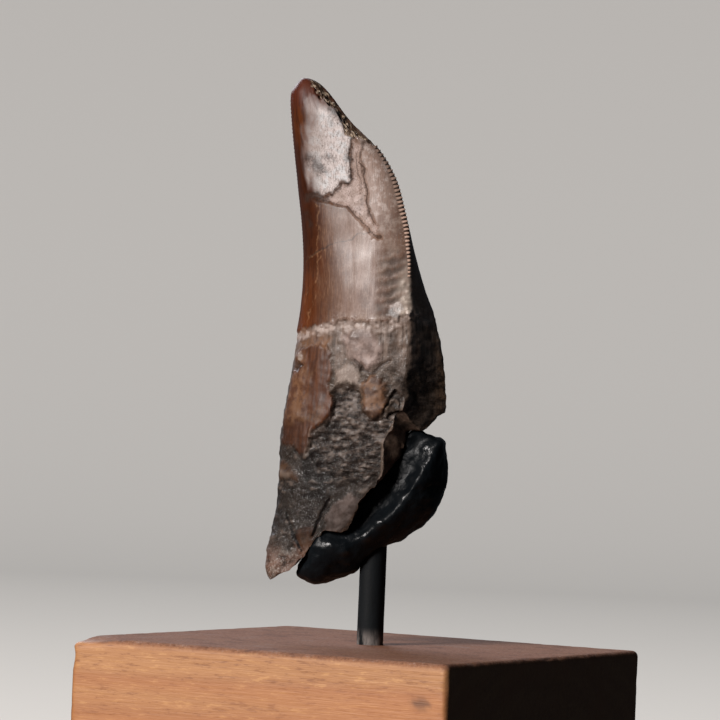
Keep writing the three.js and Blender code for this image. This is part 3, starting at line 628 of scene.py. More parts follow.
def toothMarks(x, y, z):
    # how far the surface stands out of the plain form, and the masks that the material reads
    angle = directionAt(x, y, z)
    tongueSide, cheekSide = smooth(-np.sin(angle), 0.02, 0.35), smooth(np.sin(angle), 0.02, 0.35)
    places = np.column_stack([x, y, z])
    jagX, jagZ = (relief["jag"] * bumps(places, relief["jagSize"], 3, seed)
                  + relief["sway"] * bumps(places, relief["swaySize"], 1, seed + 1) for seed in (1, 3))
    masks = {"rim": np.zeros(len(x)), "tongueSide": tongueSide, "fromCrack": np.full(len(x), farAway)}
    enamelEnd = enamelEdge(x)
    crown = smooth(z + 1.3 * jagZ - enamelEnd, -0.35, 0.35)
    height = tooth["enamelStep"] * (crown - 1) * (1 - 0.7 * smooth(np.cos(angle), 0.4, 0.8))
    bone = 1 - crown
    # the enamel line is a chipped, knobbly band
    band = np.exp(-np.abs((z - enamelEnd + 0.9 + 0.8 * jagX) / 1.25) ** 3)
    knobs, _ = cells(places, relief["knobSize"], 5, (1.35, 1.35, 0.85))
    knobbly = smooth(0.72 - knobs + 0.4 * bumps(places, 2, 3, 16), 0, 0.6)
    height += band * relief["knob"] * (knobbly - 0.3)
    masks["chips"] = band * (0.4 + 0.6 * knobbly)
    masks["fading"] = crown * np.exp(-((z - enamelEnd - 0.6 * jagX) / 1.6) ** 2)
    # the front edge is worn to small knobs below its serration, and painted pale: partly wear, partly a
    # painted highlight along the edge
    rowStart = denticles["front"]["low"]
    edgeZone = smooth(z, *zones["edgeKnobs"])
    wornEdgeAndHighlight = np.exp(-((angle - np.radians(carinaTurn(z))) * depthAt(z) + 0.35) ** 2) * edgeZone
    wornEdgeAndHighlight *= 1 - smooth(z, rowStart - 1, rowStart + 4)
    height += wornEdgeAndHighlight * relief["edgeKnob"] * (knobbly - 0.3)
    masks["wornEdgeAndHighlight"] = np.clip(wornEdgeAndHighlight * 1.3, 0, 1) * (0.35 + 0.65 * knobbly)
    for side, patches, cracks, ridges in ((tongueSide, tonguePatches, tongueCracks, tongueRidges),
                                          (cheekSide, cheekPatches, cheekCracks, [])):
        for outline, rise, rim, finish in patches.values():
            share = side * smooth(inside(x + jagX, z + jagZ, outline), -rim / 2, rim / 2)
            height += rise * share
            masks[finish] = np.maximum(masks.get(finish, 0), share)
            if finish == "spall":
                masks["rim"] = np.maximum(masks["rim"], np.minimum(8 * share * (side - share), 1) * crown)
        for line, halfWidth, depth in cracks:
            distance, along = nearLine(x + 0.5 * jagX, z + 0.5 * jagZ, line)
            width = halfWidth * (0.7 + 0.3 * np.sin(np.pi * along) + 0.5 * jagX)
            height -= depth * side * np.exp(-(distance / (width + crackRim["blur"])) ** 2)
            beyond = distance - width  # below 0 in the crack
            fromSides = np.where(side > 0.15, beyond, farAway)
            masks["fromCrack"] = np.minimum(masks["fromCrack"], fromSides)
            beside = min(depth / crackRim["fullFrom"], 1) * crown * side
            beside *= 1 - smooth(beyond, crackRim["from"], crackRim["to"])
            masks["rim"] = np.maximum(masks["rim"], beside)
        for line, halfWidth, rise in ridges:
            distance, _ = nearLine(x + 0.4 * jagX, z + 0.4 * jagZ, line)
            share = side * np.exp(-(distance / halfWidth) ** 2)
            height += rise * share
            # the material paints raised lines lighter: partly a painted highlight
            masks["ridge"] = np.maximum(masks.get("ridge", 0), share)
    # dark stains and painted shade along torn edges, and light veins
    for name, lines in (("stainAndEdgeShade", stainsAndEdgeShade), ("vein", veins)):
        masks[name] = np.zeros(len(x))
        for line, halfWidth, strength in lines:
            distance, _ = nearLine(x + jagX, z + jagZ, line)
            share = tongueSide * crown * strength * np.exp(-(distance / halfWidth) ** 2)
            masks[name] = np.maximum(masks[name], share)
    height += relief["vein"] * masks["vein"]
    # the low crest, and low waves in front of it
    past = x - crestAt(z)
    crest = np.maximum(0, 1 - np.hypot(past, 0.5) / crestReach) * smooth(z, *zones["crest"])
    crest *= 1 - smooth(z, *zones["crestEnd"])
    height += tongueSide * crestRise * crest
    masks["dull"] = tongueSide * crown * smooth(past, -0.5, 1.1)
    low, high = ripple["low"], ripple["high"]
    rippled = smooth(z, low, low + 2) * (1 - smooth(z, high - 5, high))
    rippled *= np.maximum(0, 1 - ((x - ripple["x"]) / ripple["halfWidth"]) ** 2)
    wave = np.sin((z - 0.3 * x + 0.9 * jagZ) / ripple["pitch"] * 2 * np.pi)
    wave += 0.7 * bumps(places, 1.6, 2, 14)
    height += tongueSide * ripple["height"] * rippled * wave
    # painted shade: the rippled enamel is painted darker, most in the troughs of the waves
    masks["rippled"] = tongueSide * rippled * np.clip(0.6 - 0.5 * wave, 0, 1)
    # enamel is almost smooth, with wrinkles along the crown
    wrinkles = bumps(places, relief["wrinkleSize"], 2, 6, (1, 1, 7))
    waves = bumps(places, relief["waveSize"], 2, 7)
    calm = 1 - np.maximum(masks["spall"], masks["pale"])
    height += crown * (relief["wrinkle"] * wrinkles * calm + relief["wave"] * waves)
    height += crown * masks["spall"] * relief["spall"] * bumps(places, relief["spallSize"], 3, 15)
    # worn strip: crumbly, with gritty crests, which the material paints light: partly light crumbs, partly
    # a painted highlight
    grit = bumps(places, relief["gritSize"], 3, 9)
    height += masks["worn"] * relief["grit"] * grit
    masks["grit"] = masks["worn"] * smooth(grit, -0.05, 0.45)
    # bone: lumps, fibres on the polished strip and folds across the root where it is spongy
    lumps = bumps(places, relief["lumpSize"], 2, 10)
    rough = bumps(places, relief["roughSize"], 3, 11, (1.3, 1.3, 0.8))
    fibres = bumps(places, relief["fibreSize"], 2, 12, (1, 1, 6))
    folds = bumps(places, relief["foldSize"], 3, 13, (1.9, 1.9, 0.8))
    spongy = np.maximum(masks["spongy"], 0.3 * smooth(lumps, 0.1, 0.5) * (1 - masks["polished"]))
    calm = np.maximum(calmest(masks), 0.7 * smooth(z, *zones["calmRoot"]))
    height += bone * (relief["lump"] * lumps + relief["rough"] * rough * (1 - 0.6 * calm)
                      + relief["fibre"] * masks["polished"] * fibres + relief["fold"] * spongy * folds)
    # how high the bone stands: the material paints its crests light and its hollows dark, as painted light
    # and shade
    masks["paintedCrestLight"] = bone * np.clip(0.5 + 0.36 * rough * (1 - 0.85 * calm) + 0.6 * spongy * folds, 0, 1)
    masks["bone"], masks["spongy"] = bone, spongy
    return height, masks


def makeTooth():
    # rows from the tip down, closer where it is round
    near = tipHeight - np.array([0.03, 0.1, 0.2, 0.33, 0.5, 0.7, 0.92, 1.16, 1.42])
    rows = int((near[-1] - tooth["lowEnd"]) / tooth["rowStep"])
    z = np.concatenate([near, np.linspace(near[-1], tooth["lowEnd"], rows)[1:]])
    # columns evenly round each side, from the front cutting edge to the rear one and back
    start = np.radians(carinaTurn(z))
    rear = rearTurn - 2 * np.pi + 0 * start
    fine = np.linspace(0, 1, 361)
    sides = []
    for begin, end, columns in zip((start, rear), (rear, start - 2 * np.pi), tooth["columns"]):
        turns = begin[:, None] + (end - begin)[:, None] * fine[None]
        x, y = sectionPlace(z, turns)
        length = np.hstack([np.zeros((len(z), 1)), np.cumsum(np.hypot(np.diff(x), np.diff(y)), axis=1)])
        share = np.arange(columns) / columns
        sides.append(np.array([np.interp(share * run[-1], run, t) for run, t in zip(length, turns)]))
    x, y = sectionPlace(z, np.hstack(sides))
    grid = np.stack([x, y, np.broadcast_to(z[:, None], x.shape)], -1)
    down = np.gradient(grid, axis=0)
    around = np.roll(grid, -1, axis=1) - np.roll(grid, 1, axis=1)
    out = np.cross(around, down)
    out /= np.maximum(np.linalg.norm(out, axis=-1, keepdims=True), 1e-9)
    middle = len(z) // 2
    if (out[middle, 0] * (grid[middle, 0] - grid[middle].mean(0))).sum() < 0:
        out = -out
    height, _ = toothMarks(*(grid[..., k].ravel() for k in range(3)))
    fade = smooth(tipHeight - grid[..., 2], 0, 3)
    grid = grid + out * (height.reshape(x.shape) * fade)[..., None]
    return makePiece("fossilTooth", *closedLoft(grid))


def edgeLine(turnAt, z):
    # points along a cutting edge
    x, y = sectionPlace(z, turnAt(z)[:, None])
    return np.column_stack([x[:, 0], y[:, 0], z])


def barSize(row, z):
    return mixed(row["worn"], 1, smooth(z, row["low"], row["low"] + row["wornOver"]))


def denticleRow(row, turnAt):
    # small bars that straddle a cutting edge and follow the surface to either side of it
    z = np.linspace(row["low"], row["high"], row["count"])
    size = barSize(row, z)
    edge = edgeLine(turnAt, z)
    onward = edgeLine(turnAt, z + 0.4) - edge
    onward /= np.linalg.norm(onward, axis=1, keepdims=True)
    shares = np.array([0.25, 0.6, 1])  # along a flank
    slices = ((-1, 0.6), (-0.85, 0.86), (-0.45, 0.98), (0.45, 0.98), (0.85, 0.86), (1, 0.6))
    rootDepth, coreDepth = 0.7, 0.5  # mm under the edge
    flanks = []
    for side, reach in zip((-1, 1), row["reach"]):
        turns = turnAt(z)[:, None] + side * np.linspace(0, 0.8, 40)
        x, y = sectionPlace(z, turns)
        run = np.cumsum(np.hypot(np.diff(x, prepend=x[:, :1]), np.diff(y, prepend=y[:, :1])), 1)
        at = np.array([[np.interp(shares * reach * s, r, a), np.interp(shares * reach * s, r, b)]
                       for s, r, a, b in zip(size, run, x, y)])
        flanks.append(np.dstack([at[:, 0], at[:, 1], np.repeat(z[:, None], 3, 1)]) - edge[:, None])
    points, faces = [], []
    for i, e in enumerate(onward):
        away = [f[i] - (f[i] @ e)[:, None] * e for f in flanks]
        out = -(away[0][0] / np.linalg.norm(away[0][0]) + away[1][0] / np.linalg.norm(away[1][0]))
        out /= np.linalg.norm(out)
        halves = []
        for way in away:
            normal = np.cross(np.gradient(way, axis=0), e)
            normal *= np.sign(normal @ out)[:, None] / np.linalg.norm(normal, axis=1, keepdims=True)
            halves.append(way + normal * row["rise"] * size[i] * (0.85 - 0.6 * shares)[:, None])
        outline = np.vstack([-out * rootDepth, halves[0][::-1], out * row["rise"] * size[i], halves[1]])
        core = -out * coreDepth
        rings = [edge[i] + core + (outline - core) * share + e * s * row["along"] for s, share in slices]
        first = sum(len(part) for part in points)
        part, partFaces = closedLoft(np.array(rings))
        points.append(part)
        faces += [[first + v for v in face] for face in partFaces]
    return makePiece("denticles", np.vstack(points), faces)


def makeFractureCutter():
    # everything beyond the broken surface
    step, wide = fracture["step"], fracture["halfWidth"]
    reach = np.arange(fracture["profile"][0][0], fracture["profile"][-1][0], step)
    along, y = np.meshgrid(reach, np.arange(-wide, wide, step), indexing="ij")
    out = fractureOut(along, y)
    places = np.column_stack([along.ravel(), y.ravel(), out.ravel()])
    _, wall = cells(places, fracture["cellSize"], 21)
    rough = (fracture["grain"] * bumps(places, fracture["grainSize"], 3, 20)
             - fracture["cellRise"] * smooth(wall, 0.05, 0.45))
    out = out + np.minimum(rough.reshape(out.shape), 0.1)
    top = np.stack([along + out, y * math.sqrt(2), along - out], -1) * diagonal
    rows, columns = along.shape
    half = rows * columns
    deep = top + np.array([fracture["depth"], 0, -fracture["depth"]]) * diagonal
    points = np.vstack([top.reshape(-1, 3), deep.reshape(-1, 3)])
    quads = gridCorners(rows, columns) + [0, 1, columns + 1, columns]
    faces = quads.tolist() + (quads[:, ::-1] + half).tolist()
    rim = ([(0, c) for c in range(columns)] + [(r, columns - 1) for r in range(1, rows)]
           + [(rows - 1, c) for c in range(columns - 2, -1, -1)] + [(r, 0) for r in range(rows - 2, 0, -1)])
    ids = [r * columns + c for r, c in rim]
    faces += [[i, j, j + half, i + half] for i, j in zip(ids, ids[1:] + ids[:1])]
    return makePiece("beyond", points, faces)


toothPiece = makeTooth()
print("tooth form:", len(toothPiece.data.vertices), "vertices")
cuttingEdges = {"front": lambda z: np.radians(carinaTurn(z)), "rear": lambda z: rearTurn + 0 * z}
for name, turnAt in cuttingEdges.items():
    joinOrCut(toothPiece, denticleRow(denticles[name], turnAt), "UNION")
joinOrCut(toothPiece, makeFractureCutter(), "DIFFERENCE")
print("tooth with serration and break:", len(toothPiece.data.vertices), "vertices")

def lookMasks(masks, place, facing):
    # adds the masks that only the material reads
    x, y, z = place.T
    tongueSide = masks.pop("tongueSide")
    depth = (x - z) * diagonal - fractureOut((x + z) * diagonal, y)
    masks["broken"] = smooth(depth, -0.75, -0.5) * smooth(facing, 0.3, 0.6)
    # distance to the front cutting edge, and how many bars along it a point lies
    row = denticles["front"]
    length = row["high"] - row["low"]
    heights = np.linspace(row["low"] - 1, row["high"] + 1, 400)
    near = np.abs(z - row["low"] - length / 2) < length / 2 + 1.5
    away, along = np.full(len(z), farAway), np.zeros(len(z))
    gaps = np.linalg.norm(place[near][:, None] - edgeLine(cuttingEdges["front"], heights)[None], axis=-1)
    away[near] = gaps.min(1)
    along[near] = (heights[gaps.argmin(1)] - row["low"]) / length * (row["count"] - 1)
    masks["fromEdge"] = away / barSize(row, z)
    masks["barsAlong"] = along
    inRow = smooth(along, -0.6, 0) * (1 - smooth(along, row["count"] - 1, row["count"] - 0.4))
    masks["inRow"] = inRow * (away < farAway)
    # amber shows through the thinner enamel along the rear edge, and browns away from it
    fromAmber = x - amberLine(z) + 1.1 * bumps(place, 3.2, 3, 61, (1, 1, 2.4))
    masks["amber"] = 1 - smooth(fromAmber, -2.2, 1.8)
    masks["brown"] = 1 - smooth(fromAmber, 0, 7)
    masks["pale"] = masks["pale"] * np.where(z > 80, smooth(fromAmber, -1.8, 3.2), 1)
    fromTip = z - 0.35 * x + 1.2 * bumps(place, 3, 2, 62)
    masks["pale"] = masks["pale"] * (1 - 0.85 * smooth(fromTip, 102.6, 106.4))
    # painted sheen: the upper front of the tongue side is painted lighter, partly paler enamel and partly a
    # painted sheen
    high = smooth(x, -6.8, -4.8) * (1 - smooth(x - crestAt(z), 0, 4.5))
    masks["high"] = high * tongueSide * (1 - masks["bone"]) * smooth(z, *zones["high"])
    masks["glossy"] = np.maximum.reduce([0.65 * masks["polished"], masks["pink"], 0.6 * masks["tan"],
                                         0.6 * masks["chips"]])
    masks["tip"] = smooth(z, *zones["tip"])
    # painted shade in the hollows of the bone
    masks["hollow"] = masks["bone"] - masks["paintedCrestLight"]
    masks["fromLowCrack"] = masks["fromCrack"] + farAway * smooth(z, *zones["lowCrackEnd"])
    masks["low"] = (1 - smooth(z + 0.4 * x, *zones["lowEnd"])) * smooth(z, *zones["low"])
    masks["lowTip"] = 1 - smooth(z, *zones["lowTipEnd"])
    masks["upper"] = masks["bone"] * smooth(z, *zones["upper"])
    # painted fill light: the bone on the cheek side and the front, which lies in shade, is painted lighter
    masks["paintedFillLight"] = masks["bone"] * (1 - tongueSide) * smooth(x, 1, 5)
    masks["deep"] = masks["amber"] * smooth(z, *zones["deep"]) * (1 - smooth(z, *zones["deepEnd"]))
    calm = np.maximum(calmest(masks), 0.85 * masks["upper"])
    masks["rugged"] = np.maximum(masks["bone"] * (1 - 0.85 * calm), masks["worn"])


amberLine = byHeight([[104.5, -16.6], [100.8, -15.6], [94.3, -15.4], [88.7, -14.8], [83.1, -13.6],
                      [75.6, -12.8], [68.2, -12.6], [60.7, -12.4]])
place = pointsOf(toothPiece) / millimetre
_, toothMasks = toothMarks(*place.T)
lookMasks(toothMasks, place, normalsOf(toothPiece) @ np.array([1, 0, -1]) * diagonal)
toothPiece.data.transform(standing @ Matrix.Scale(1 / millimetre, 4))
keep(toothPiece, "place", place)
for name, values in toothMasks.items():
    keep(toothPiece, name, values)


def layTones(tree, base, tones, pattern, mask):
    # each tone over what is there: its mask, the pattern that lets it through between two values, and
    # how much of it; either of the two may be left out
    for where, let, low, high, amount, tone in tones:
        share = amount
        if let:
            share = addNode(tree, "MapRange", {"Value": pattern[let], "From Min": low, "From Max": high,
                                               "To Max": amount},
                            interpolation_type="SMOOTHSTEP").outputs[0]
        if where:
            share = addNode(tree, "Math", {0: share, 1: mask[where]}, operation="MULTIPLY").outputs[0]
        base = addNode(tree, "Mix", {0: share, 6: base, 7: tone}, data_type="RGBA").outputs[2]
    return base


def toothMaterial():
    # fossil enamel polished by wear over fossil bone broken rough: enamel is glossy like glazed
    # earthenware, so its middle shows a broad sheen, and bone glitters where it is varnished
    made, tree = newMaterial("fossil enamel and bone, worn")
    mask = {name: addNode(tree, "Attribute", attribute_name=name).outputs["Fac"] for name in toothMasks}
    place = addNode(tree, "Attribute", attribute_name="place").outputs["Vector"]
    lengthwise = addNode(tree, "VectorMath", {0: place, 1: (1, 1, 0.09)}, operation="MULTIPLY").outputs[0]
    crosswise = addNode(tree, "VectorMath", {0: place, 1: (0.5, 0.5, 1.3)}, operation="MULTIPLY").outputs[0]
    # noise by its size in mm: clouds 6, mottle 1.6, grain 0.4, crumbs 0.2. Streaks and hairs run
    # lengthwise and folds across
    pattern = {}
    for name, vector, scale, detail in (("clouds", place, 0.16, 5), ("mottle", place, 0.62, 5),
                                        ("grain", place, 2.4, 4), ("crumbs", place, 5, 3),
                                        ("streaks", lengthwise, 1.3, 4), ("hairs", lengthwise, 5.5, 3),
                                        ("folds", crosswise, 1.5, 5)):
        pattern[name] = addNode(tree, "TexNoise", {"Vector": vector, "Scale": scale, "Detail": detail,
                                                   "Roughness": 0.65}).outputs["Fac"]
    pattern["specks"] = addNode(tree, "TexVoronoi", {"Vector": place, "Scale": 1.3}).outputs["Distance"]
    # fine crazing, its lines bent by noise
    bend = addNode(tree, "TexNoise", {"Vector": place, "Scale": 1.1, "Detail": 3}).outputs["Color"]
    bent = addNode(tree, "VectorMath", {0: bend, 1: (1.6, 1.6, 1.6), 2: place},
                   operation="MULTIPLY_ADD").outputs[0]
    pattern["crazing"] = addNode(tree, "TexVoronoi", {"Vector": bent, "Scale": 0.75},
                                 feature="DISTANCE_TO_EDGE").outputs["Distance"]

    # bars of the serration: a painted highlight on their tops, and painted shade between them
    fromBar = addNode(tree, "Math", {0: mask["barsAlong"], 1: 0.5}, operation="PINGPONG").outputs[0]
    onBar = addNode(tree, "MapRange", {"Value": fromBar, "From Min": 0.36, "From Max": 0.24},
                    interpolation_type="SMOOTHSTEP").outputs["Result"]
    mask["serration"] = addNode(tree, "MapRange", {"Value": mask["fromEdge"], "From Min": 1.35,
                                                   "From Max": 1.0,
                                                   "To Max": mask["inRow"]}).outputs["Result"]
    mask["paintedBarHighlight"] = addNode(tree, "Math", {0: onBar, 1: mask["serration"]}, operation="MULTIPLY").outputs[0]

    enamelTones = [
        ("", "streaks", 0.42, 0.62, 0.5, "#7c6155"), ("", "clouds", 0.48, 0.64, 0.5, "#4c3329"),
        ("", "hairs", 0.5, 0.66, 0.4, "#957d70"), ("", "mottle", 0.5, 0.64, 0.35, "#8f786c"),
        ("dull", "mottle", 0.4, 0.62, 0.5, "#7d6a5c"), ("dull", "hairs", 0.52, 0.62, 0.45, "#3d3029"),
        # the tones for high, from here on: paler enamel, and partly a painted sheen
        ("dull", "grain", 0.52, 0.66, 0.45, "#98857a"), ("high", "", 0, 1, 0.5, "#ab958a"),
        ("high", "mottle", 0.48, 0.62, 0.6, "#beb1aa"), ("high", "hairs", 0.51, 0.6, 0.55, "#66544a"),
        # rippled: painted shade, darkest in the troughs of the waves
        ("high", "grain", 0.54, 0.64, 0.4, "#7b685d"), ("rippled", "", 0, 1, 0.85, "#40342d"),
        ("rippled", "grain", 0.5, 0.64, 0.4, "#65574f"), ("fading", "mottle", 0.38, 0.6, 0.6, "#8b7668"),
        ("fading", "grain", 0.5, 0.62, 0.4, "#a3928a"), ("brown", "", 0, 1, 0.8, "#4f2f1c"),
        ("brown", "streaks", 0.46, 0.62, 0.5, "#3a2114"), ("brown", "hairs", 0.5, 0.62, 0.35, "#8a6446"),
        ("amber", "", 0, 1, 0.95, "#50270f"), ("amber", "streaks", 0.44, 0.62, 0.6, "#24100a"),
        ("amber", "clouds", 0.5, 0.62, 0.5, "#5f3014"), ("deep", "", 0, 1, 0.65, "#2a1107"),
        ("tip", "", 0, 1, 0.8, "#4a2015"), ("tip", "streaks", 0.46, 0.6, 0.4, "#331610"),
        # pale enamel: its own pale colour, painted whiter still as a painted sheen
        ("pale", "", 0, 1, 0.88, "#cec3bf"), ("pale", "mottle", 0.46, 0.58, 0.45, "#c2cacd"),
        ("pale", "clouds", 0.5, 0.6, 0.4, "#94877f"), ("pale", "grain", 0.5, 0.6, 0.25, "#80746d"),
        ("pale", "hairs", 0.51, 0.6, 0.55, "#66574f"), ("pale", "specks", 0.2, 0.1, 0.6, "#40332c"),
        ("pale", "crazing", 0.04, 0.01, 0.45, "#5b4a42"), ("spall", "", 0, 1, 0.8, "#947f75"),
        ("spall", "mottle", 0.44, 0.62, 0.7, "#b09c95"), ("spall", "grain", 0.53, 0.64, 0.7, "#5b473c"),
        # stains, and painted shade along the torn edges of the pale patch and the spall
        ("spall", "crumbs", 0.54, 0.66, 0.5, "#cbbab0"), ("stainAndEdgeShade", "mottle", 0.34, 0.54, 0.8, "#3a2b24"),
        ("stainAndEdgeShade", "grain", 0.38, 0.6, 0.6, "#2a1d17"), ("vein", "mottle", 0.42, 0.6, 0.5, "#a37a58"),
        # worn front edge: pale from wear, and partly a painted highlight
        ("wornEdgeAndHighlight", "", 0, 1, 0.9, "#bcaea1"), ("wornEdgeAndHighlight", "grain", 0.5, 0.62, 0.6, "#6b5a4d"),
        # painted shade along the row of bars, and a painted highlight on their tops
        ("serration", "", 0, 1, 0.85, "#291a13"), ("paintedBarHighlight", "", 0, 1, 0.95, "#bfa18f"),
    ]
    boneTones = [
        ("", "mottle", 0.4, 0.62, 0.8, "#54463c"), ("", "clouds", 0.48, 0.64, 0.6, "#2a211d"),
        # upper root: painted lighter, partly its own colour and partly painted light
        ("", "folds", 0.5, 0.64, 0.35, "#75665b"), ("upper", "", 0, 1, 0.4, "#5e4e45"),
        ("upper", "streaks", 0.4, 0.6, 0.7, "#8a786d"), ("upper", "clouds", 0.46, 0.6, 0.5, "#5a4333"),
        # crumbs of the rugged bone: light where the bump raises them and dark where it sinks them, painted
        # light and shade
        ("low", "mottle", 0.3, 0.56, 0.7, "#2b2725"), ("rugged", "crumbs", 0.57, 0.7, 0.35, "#8a786a"),
        ("rugged", "crumbs", 0.43, 0.32, 0.4, "#1a1411"), ("polished", "", 0, 1, 0.94, "#40200d"),
        ("polished", "streaks", 0.44, 0.62, 0.6, "#5c3318"),
        ("polished", "clouds", 0.52, 0.64, 0.5, "#6b4d34"),
        ("polished", "mottle", 0.53, 0.64, 0.5, "#2c150b"), ("pink", "", 0, 1, 0.7, "#77635b"),
        ("pink", "mottle", 0.4, 0.6, 0.6, "#a38f87"), ("pink", "clouds", 0.5, 0.62, 0.4, "#4c3d37"),
        ("tan", "", 0, 1, 0.7, "#4d3020"), ("tan", "mottle", 0.4, 0.6, 0.6, "#7a573c"),
        ("pale", "mottle", 0.2, 0.5, 0.85, "#84756b"), ("pale", "grain", 0.5, 0.64, 0.5, "#a3968c"),
        ("grey", "", 0, 1, 0.92, "#191817"), ("spongy", "", 0, 1, 0.75, "#211b18"),
        ("spongy", "folds", 0.46, 0.6, 0.7, "#4d413a"), ("spongy", "grain", 0.52, 0.64, 0.4, "#66584f"),
        ("low", "", 0, 1, 0.7, "#1f1b18"), ("lowTip", "mottle", 0.36, 0.56, 0.5, "#7c7169"),
        ("lowTip", "clouds", 0.44, 0.56, 0.65, "#5a3019"), ("lowTip", "folds", 0.48, 0.6, 0.5, "#3c3029"),
        # the bone in shade on the cheek side and front is painted lighter: painted fill light
        ("lowTip", "grain", 0.52, 0.64, 0.6, "#a59a91"), ("paintedFillLight", "mottle", 0.36, 0.6, 0.7, "#86684f"),
        # the break: its own colour, painted lighter still as painted fill light in its shade
        ("paintedFillLight", "streaks", 0.5, 0.62, 0.5, "#a08d7d"), ("broken", "", 0, 1, 0.8, "#5b483c"),
        ("broken", "mottle", 0.45, 0.6, 0.5, "#7a6555"), ("dark", "", 0, 1, 0.7, "#1c1613"),
    ]
    enamel = layTones(tree, "#624635", enamelTones, pattern, mask)
    bone = layTones(tree, "#33281f", boneTones, pattern, mask)
    both = addNode(tree, "Mix", {0: mask["bone"], 6: enamel, 7: bone}, data_type="RGBA").outputs[2]
    # painted shade in the hollows of the bone and painted light on its crests; chips, grit, ridges and
    # cracks cross both, and grit and ridges are painted lighter, partly as a painted highlight
    both = layTones(tree, both, [
        ("", "paintedCrestLight", 0.6, 0.98, 0.35, "#7d6d62"), ("", "hollow", 0.55, 0.95, 0.75, "#15100e"),
        ("", "chips", 0.15, 1, 0.7, "#ab9a91"), ("", "worn", 0, 1, 0.9, "#4a392b"),
        ("", "grit", 0.15, 0.8, 0.85, "#a89580"), ("", "ridge", 0.2, 1, 0.3, "#8a7769"),
        ("", "fromCrack", 0.08, -0.06, 0.62, "#2f221b"), ("", "fromLowCrack", 0.1, -0.04, 0.9, "#0b0807"),
    ], mask, mask)

    # gloss: polished enamel, duller in front of the crest; bone shines where it is worn smooth, and the
    # varnish on it glints on its highest crumbs
    roughness = addNode(tree, "Mix", {0: mask["dull"], 2: 0.25, 3: 0.4}).outputs[0]
    specular = addNode(tree, "Mix", {0: mask["dull"], 2: 0.6, 3: 0.4}).outputs[0]
    for where, rough, shine in (("amber", 0.3, 0.2), ("rippled", 0.5, 0.2), ("pale", 0.33, 0.5),
                                ("spall", 0.42, 0.35), ("tip", 0.4, 0.1), ("bone", 0.32, 0.28),
                                ("upper", 0.27, 0.5), ("glossy", 0.25, 0.5), ("low", 0.38, 0.1),
                                ("worn", 0.3, 0.3), ("rim", 0.7, 0.03), ("hollow", 0.6, 0.05)):
        roughness = addNode(tree, "Mix", {0: mask[where], 2: roughness, 3: rough}).outputs[0]
        specular = addNode(tree, "Mix", {0: mask[where], 2: specular, 3: shine}).outputs[0]
    roughness = addNode(tree, "Math", {0: pattern["grain"], 1: 0.14, 2: roughness},
                        operation="MULTIPLY_ADD").outputs[0]
    varnish = addNode(tree, "MapRange", {"Value": pattern["crumbs"], "From Min": 0.56, "From Max": 0.66,
                                         "To Max": mask["rugged"]},
                      interpolation_type="SMOOTHSTEP").outputs[0]
    roughness = addNode(tree, "Mix", {0: varnish, 2: roughness, 3: 0.2}).outputs[0]
    specular = addNode(tree, "Math", {0: varnish, 1: 0.9, 2: specular}, operation="MULTIPLY_ADD").outputs[0]
    # relief in mm
    relief = addNode(tree, "Math", {0: pattern["hairs"], 1: 0.012}, operation="MULTIPLY").outputs[0]
    for let, depth in (("grain", 0.14), ("crumbs", 0.06)):
        depth = addNode(tree, "Math", {0: mask["rugged"], 1: depth}, operation="MULTIPLY").outputs[0]
        relief = addNode(tree, "Math", {0: pattern[let], 1: depth, 2: relief},
                         operation="MULTIPLY_ADD").outputs[0]
    bump = addNode(tree, "Bump", {"Height": relief, "Strength": 1, "Distance": millimetre})
    surface = addNode(tree, "BsdfPrincipled", {"Base Color": both, "Roughness": roughness, "IOR": 1.6,
                                               "Specular IOR Level": specular, "Normal": bump.outputs[0]})
    addNode(tree, "OutputMaterial", {"Surface": surface.outputs[0]})
    return made


finishPiece(toothPiece, toothMaterial(), "tooth")
print("tooth finished")


cradle = {
    "voxel": 0.4, "relaxing": 0.5, "relaxRounds": 24,
    "lumpSize": 5.5, "lumpRise": 0.3, "dentSize": 2, "dentRise": 0.13, "highest": 0.6,
    "pressedWithin": 0.9, "contact": 0.03,  # putty this near the break is pressed onto it
    "looseFrom": 0.6, "looseTo": 2,  # and from here on it is lumpy
    "spike": 0.1,
    # lumps along the lip and a nib at its upper end: [x, z], width and rise
    "lipLumps": [([9.3, 37.6], 1, 0.55), ([8, 34.1], 0.8, 0.45), ([6.3, 31.4], 0.6, 0.3),
                 ([4.5, 28.4], 0.9, 0.45), ([0.6, 23.3], 1.1, 0.65), ([-1.5, 20.3], 0.9, 0.5),
                 ([-5.5, 17.7], 0.8, 0.55), ([-8.2, 18.9], 1, 0.55), ([11.6, 38.6], 0.8, 0.6)],
}


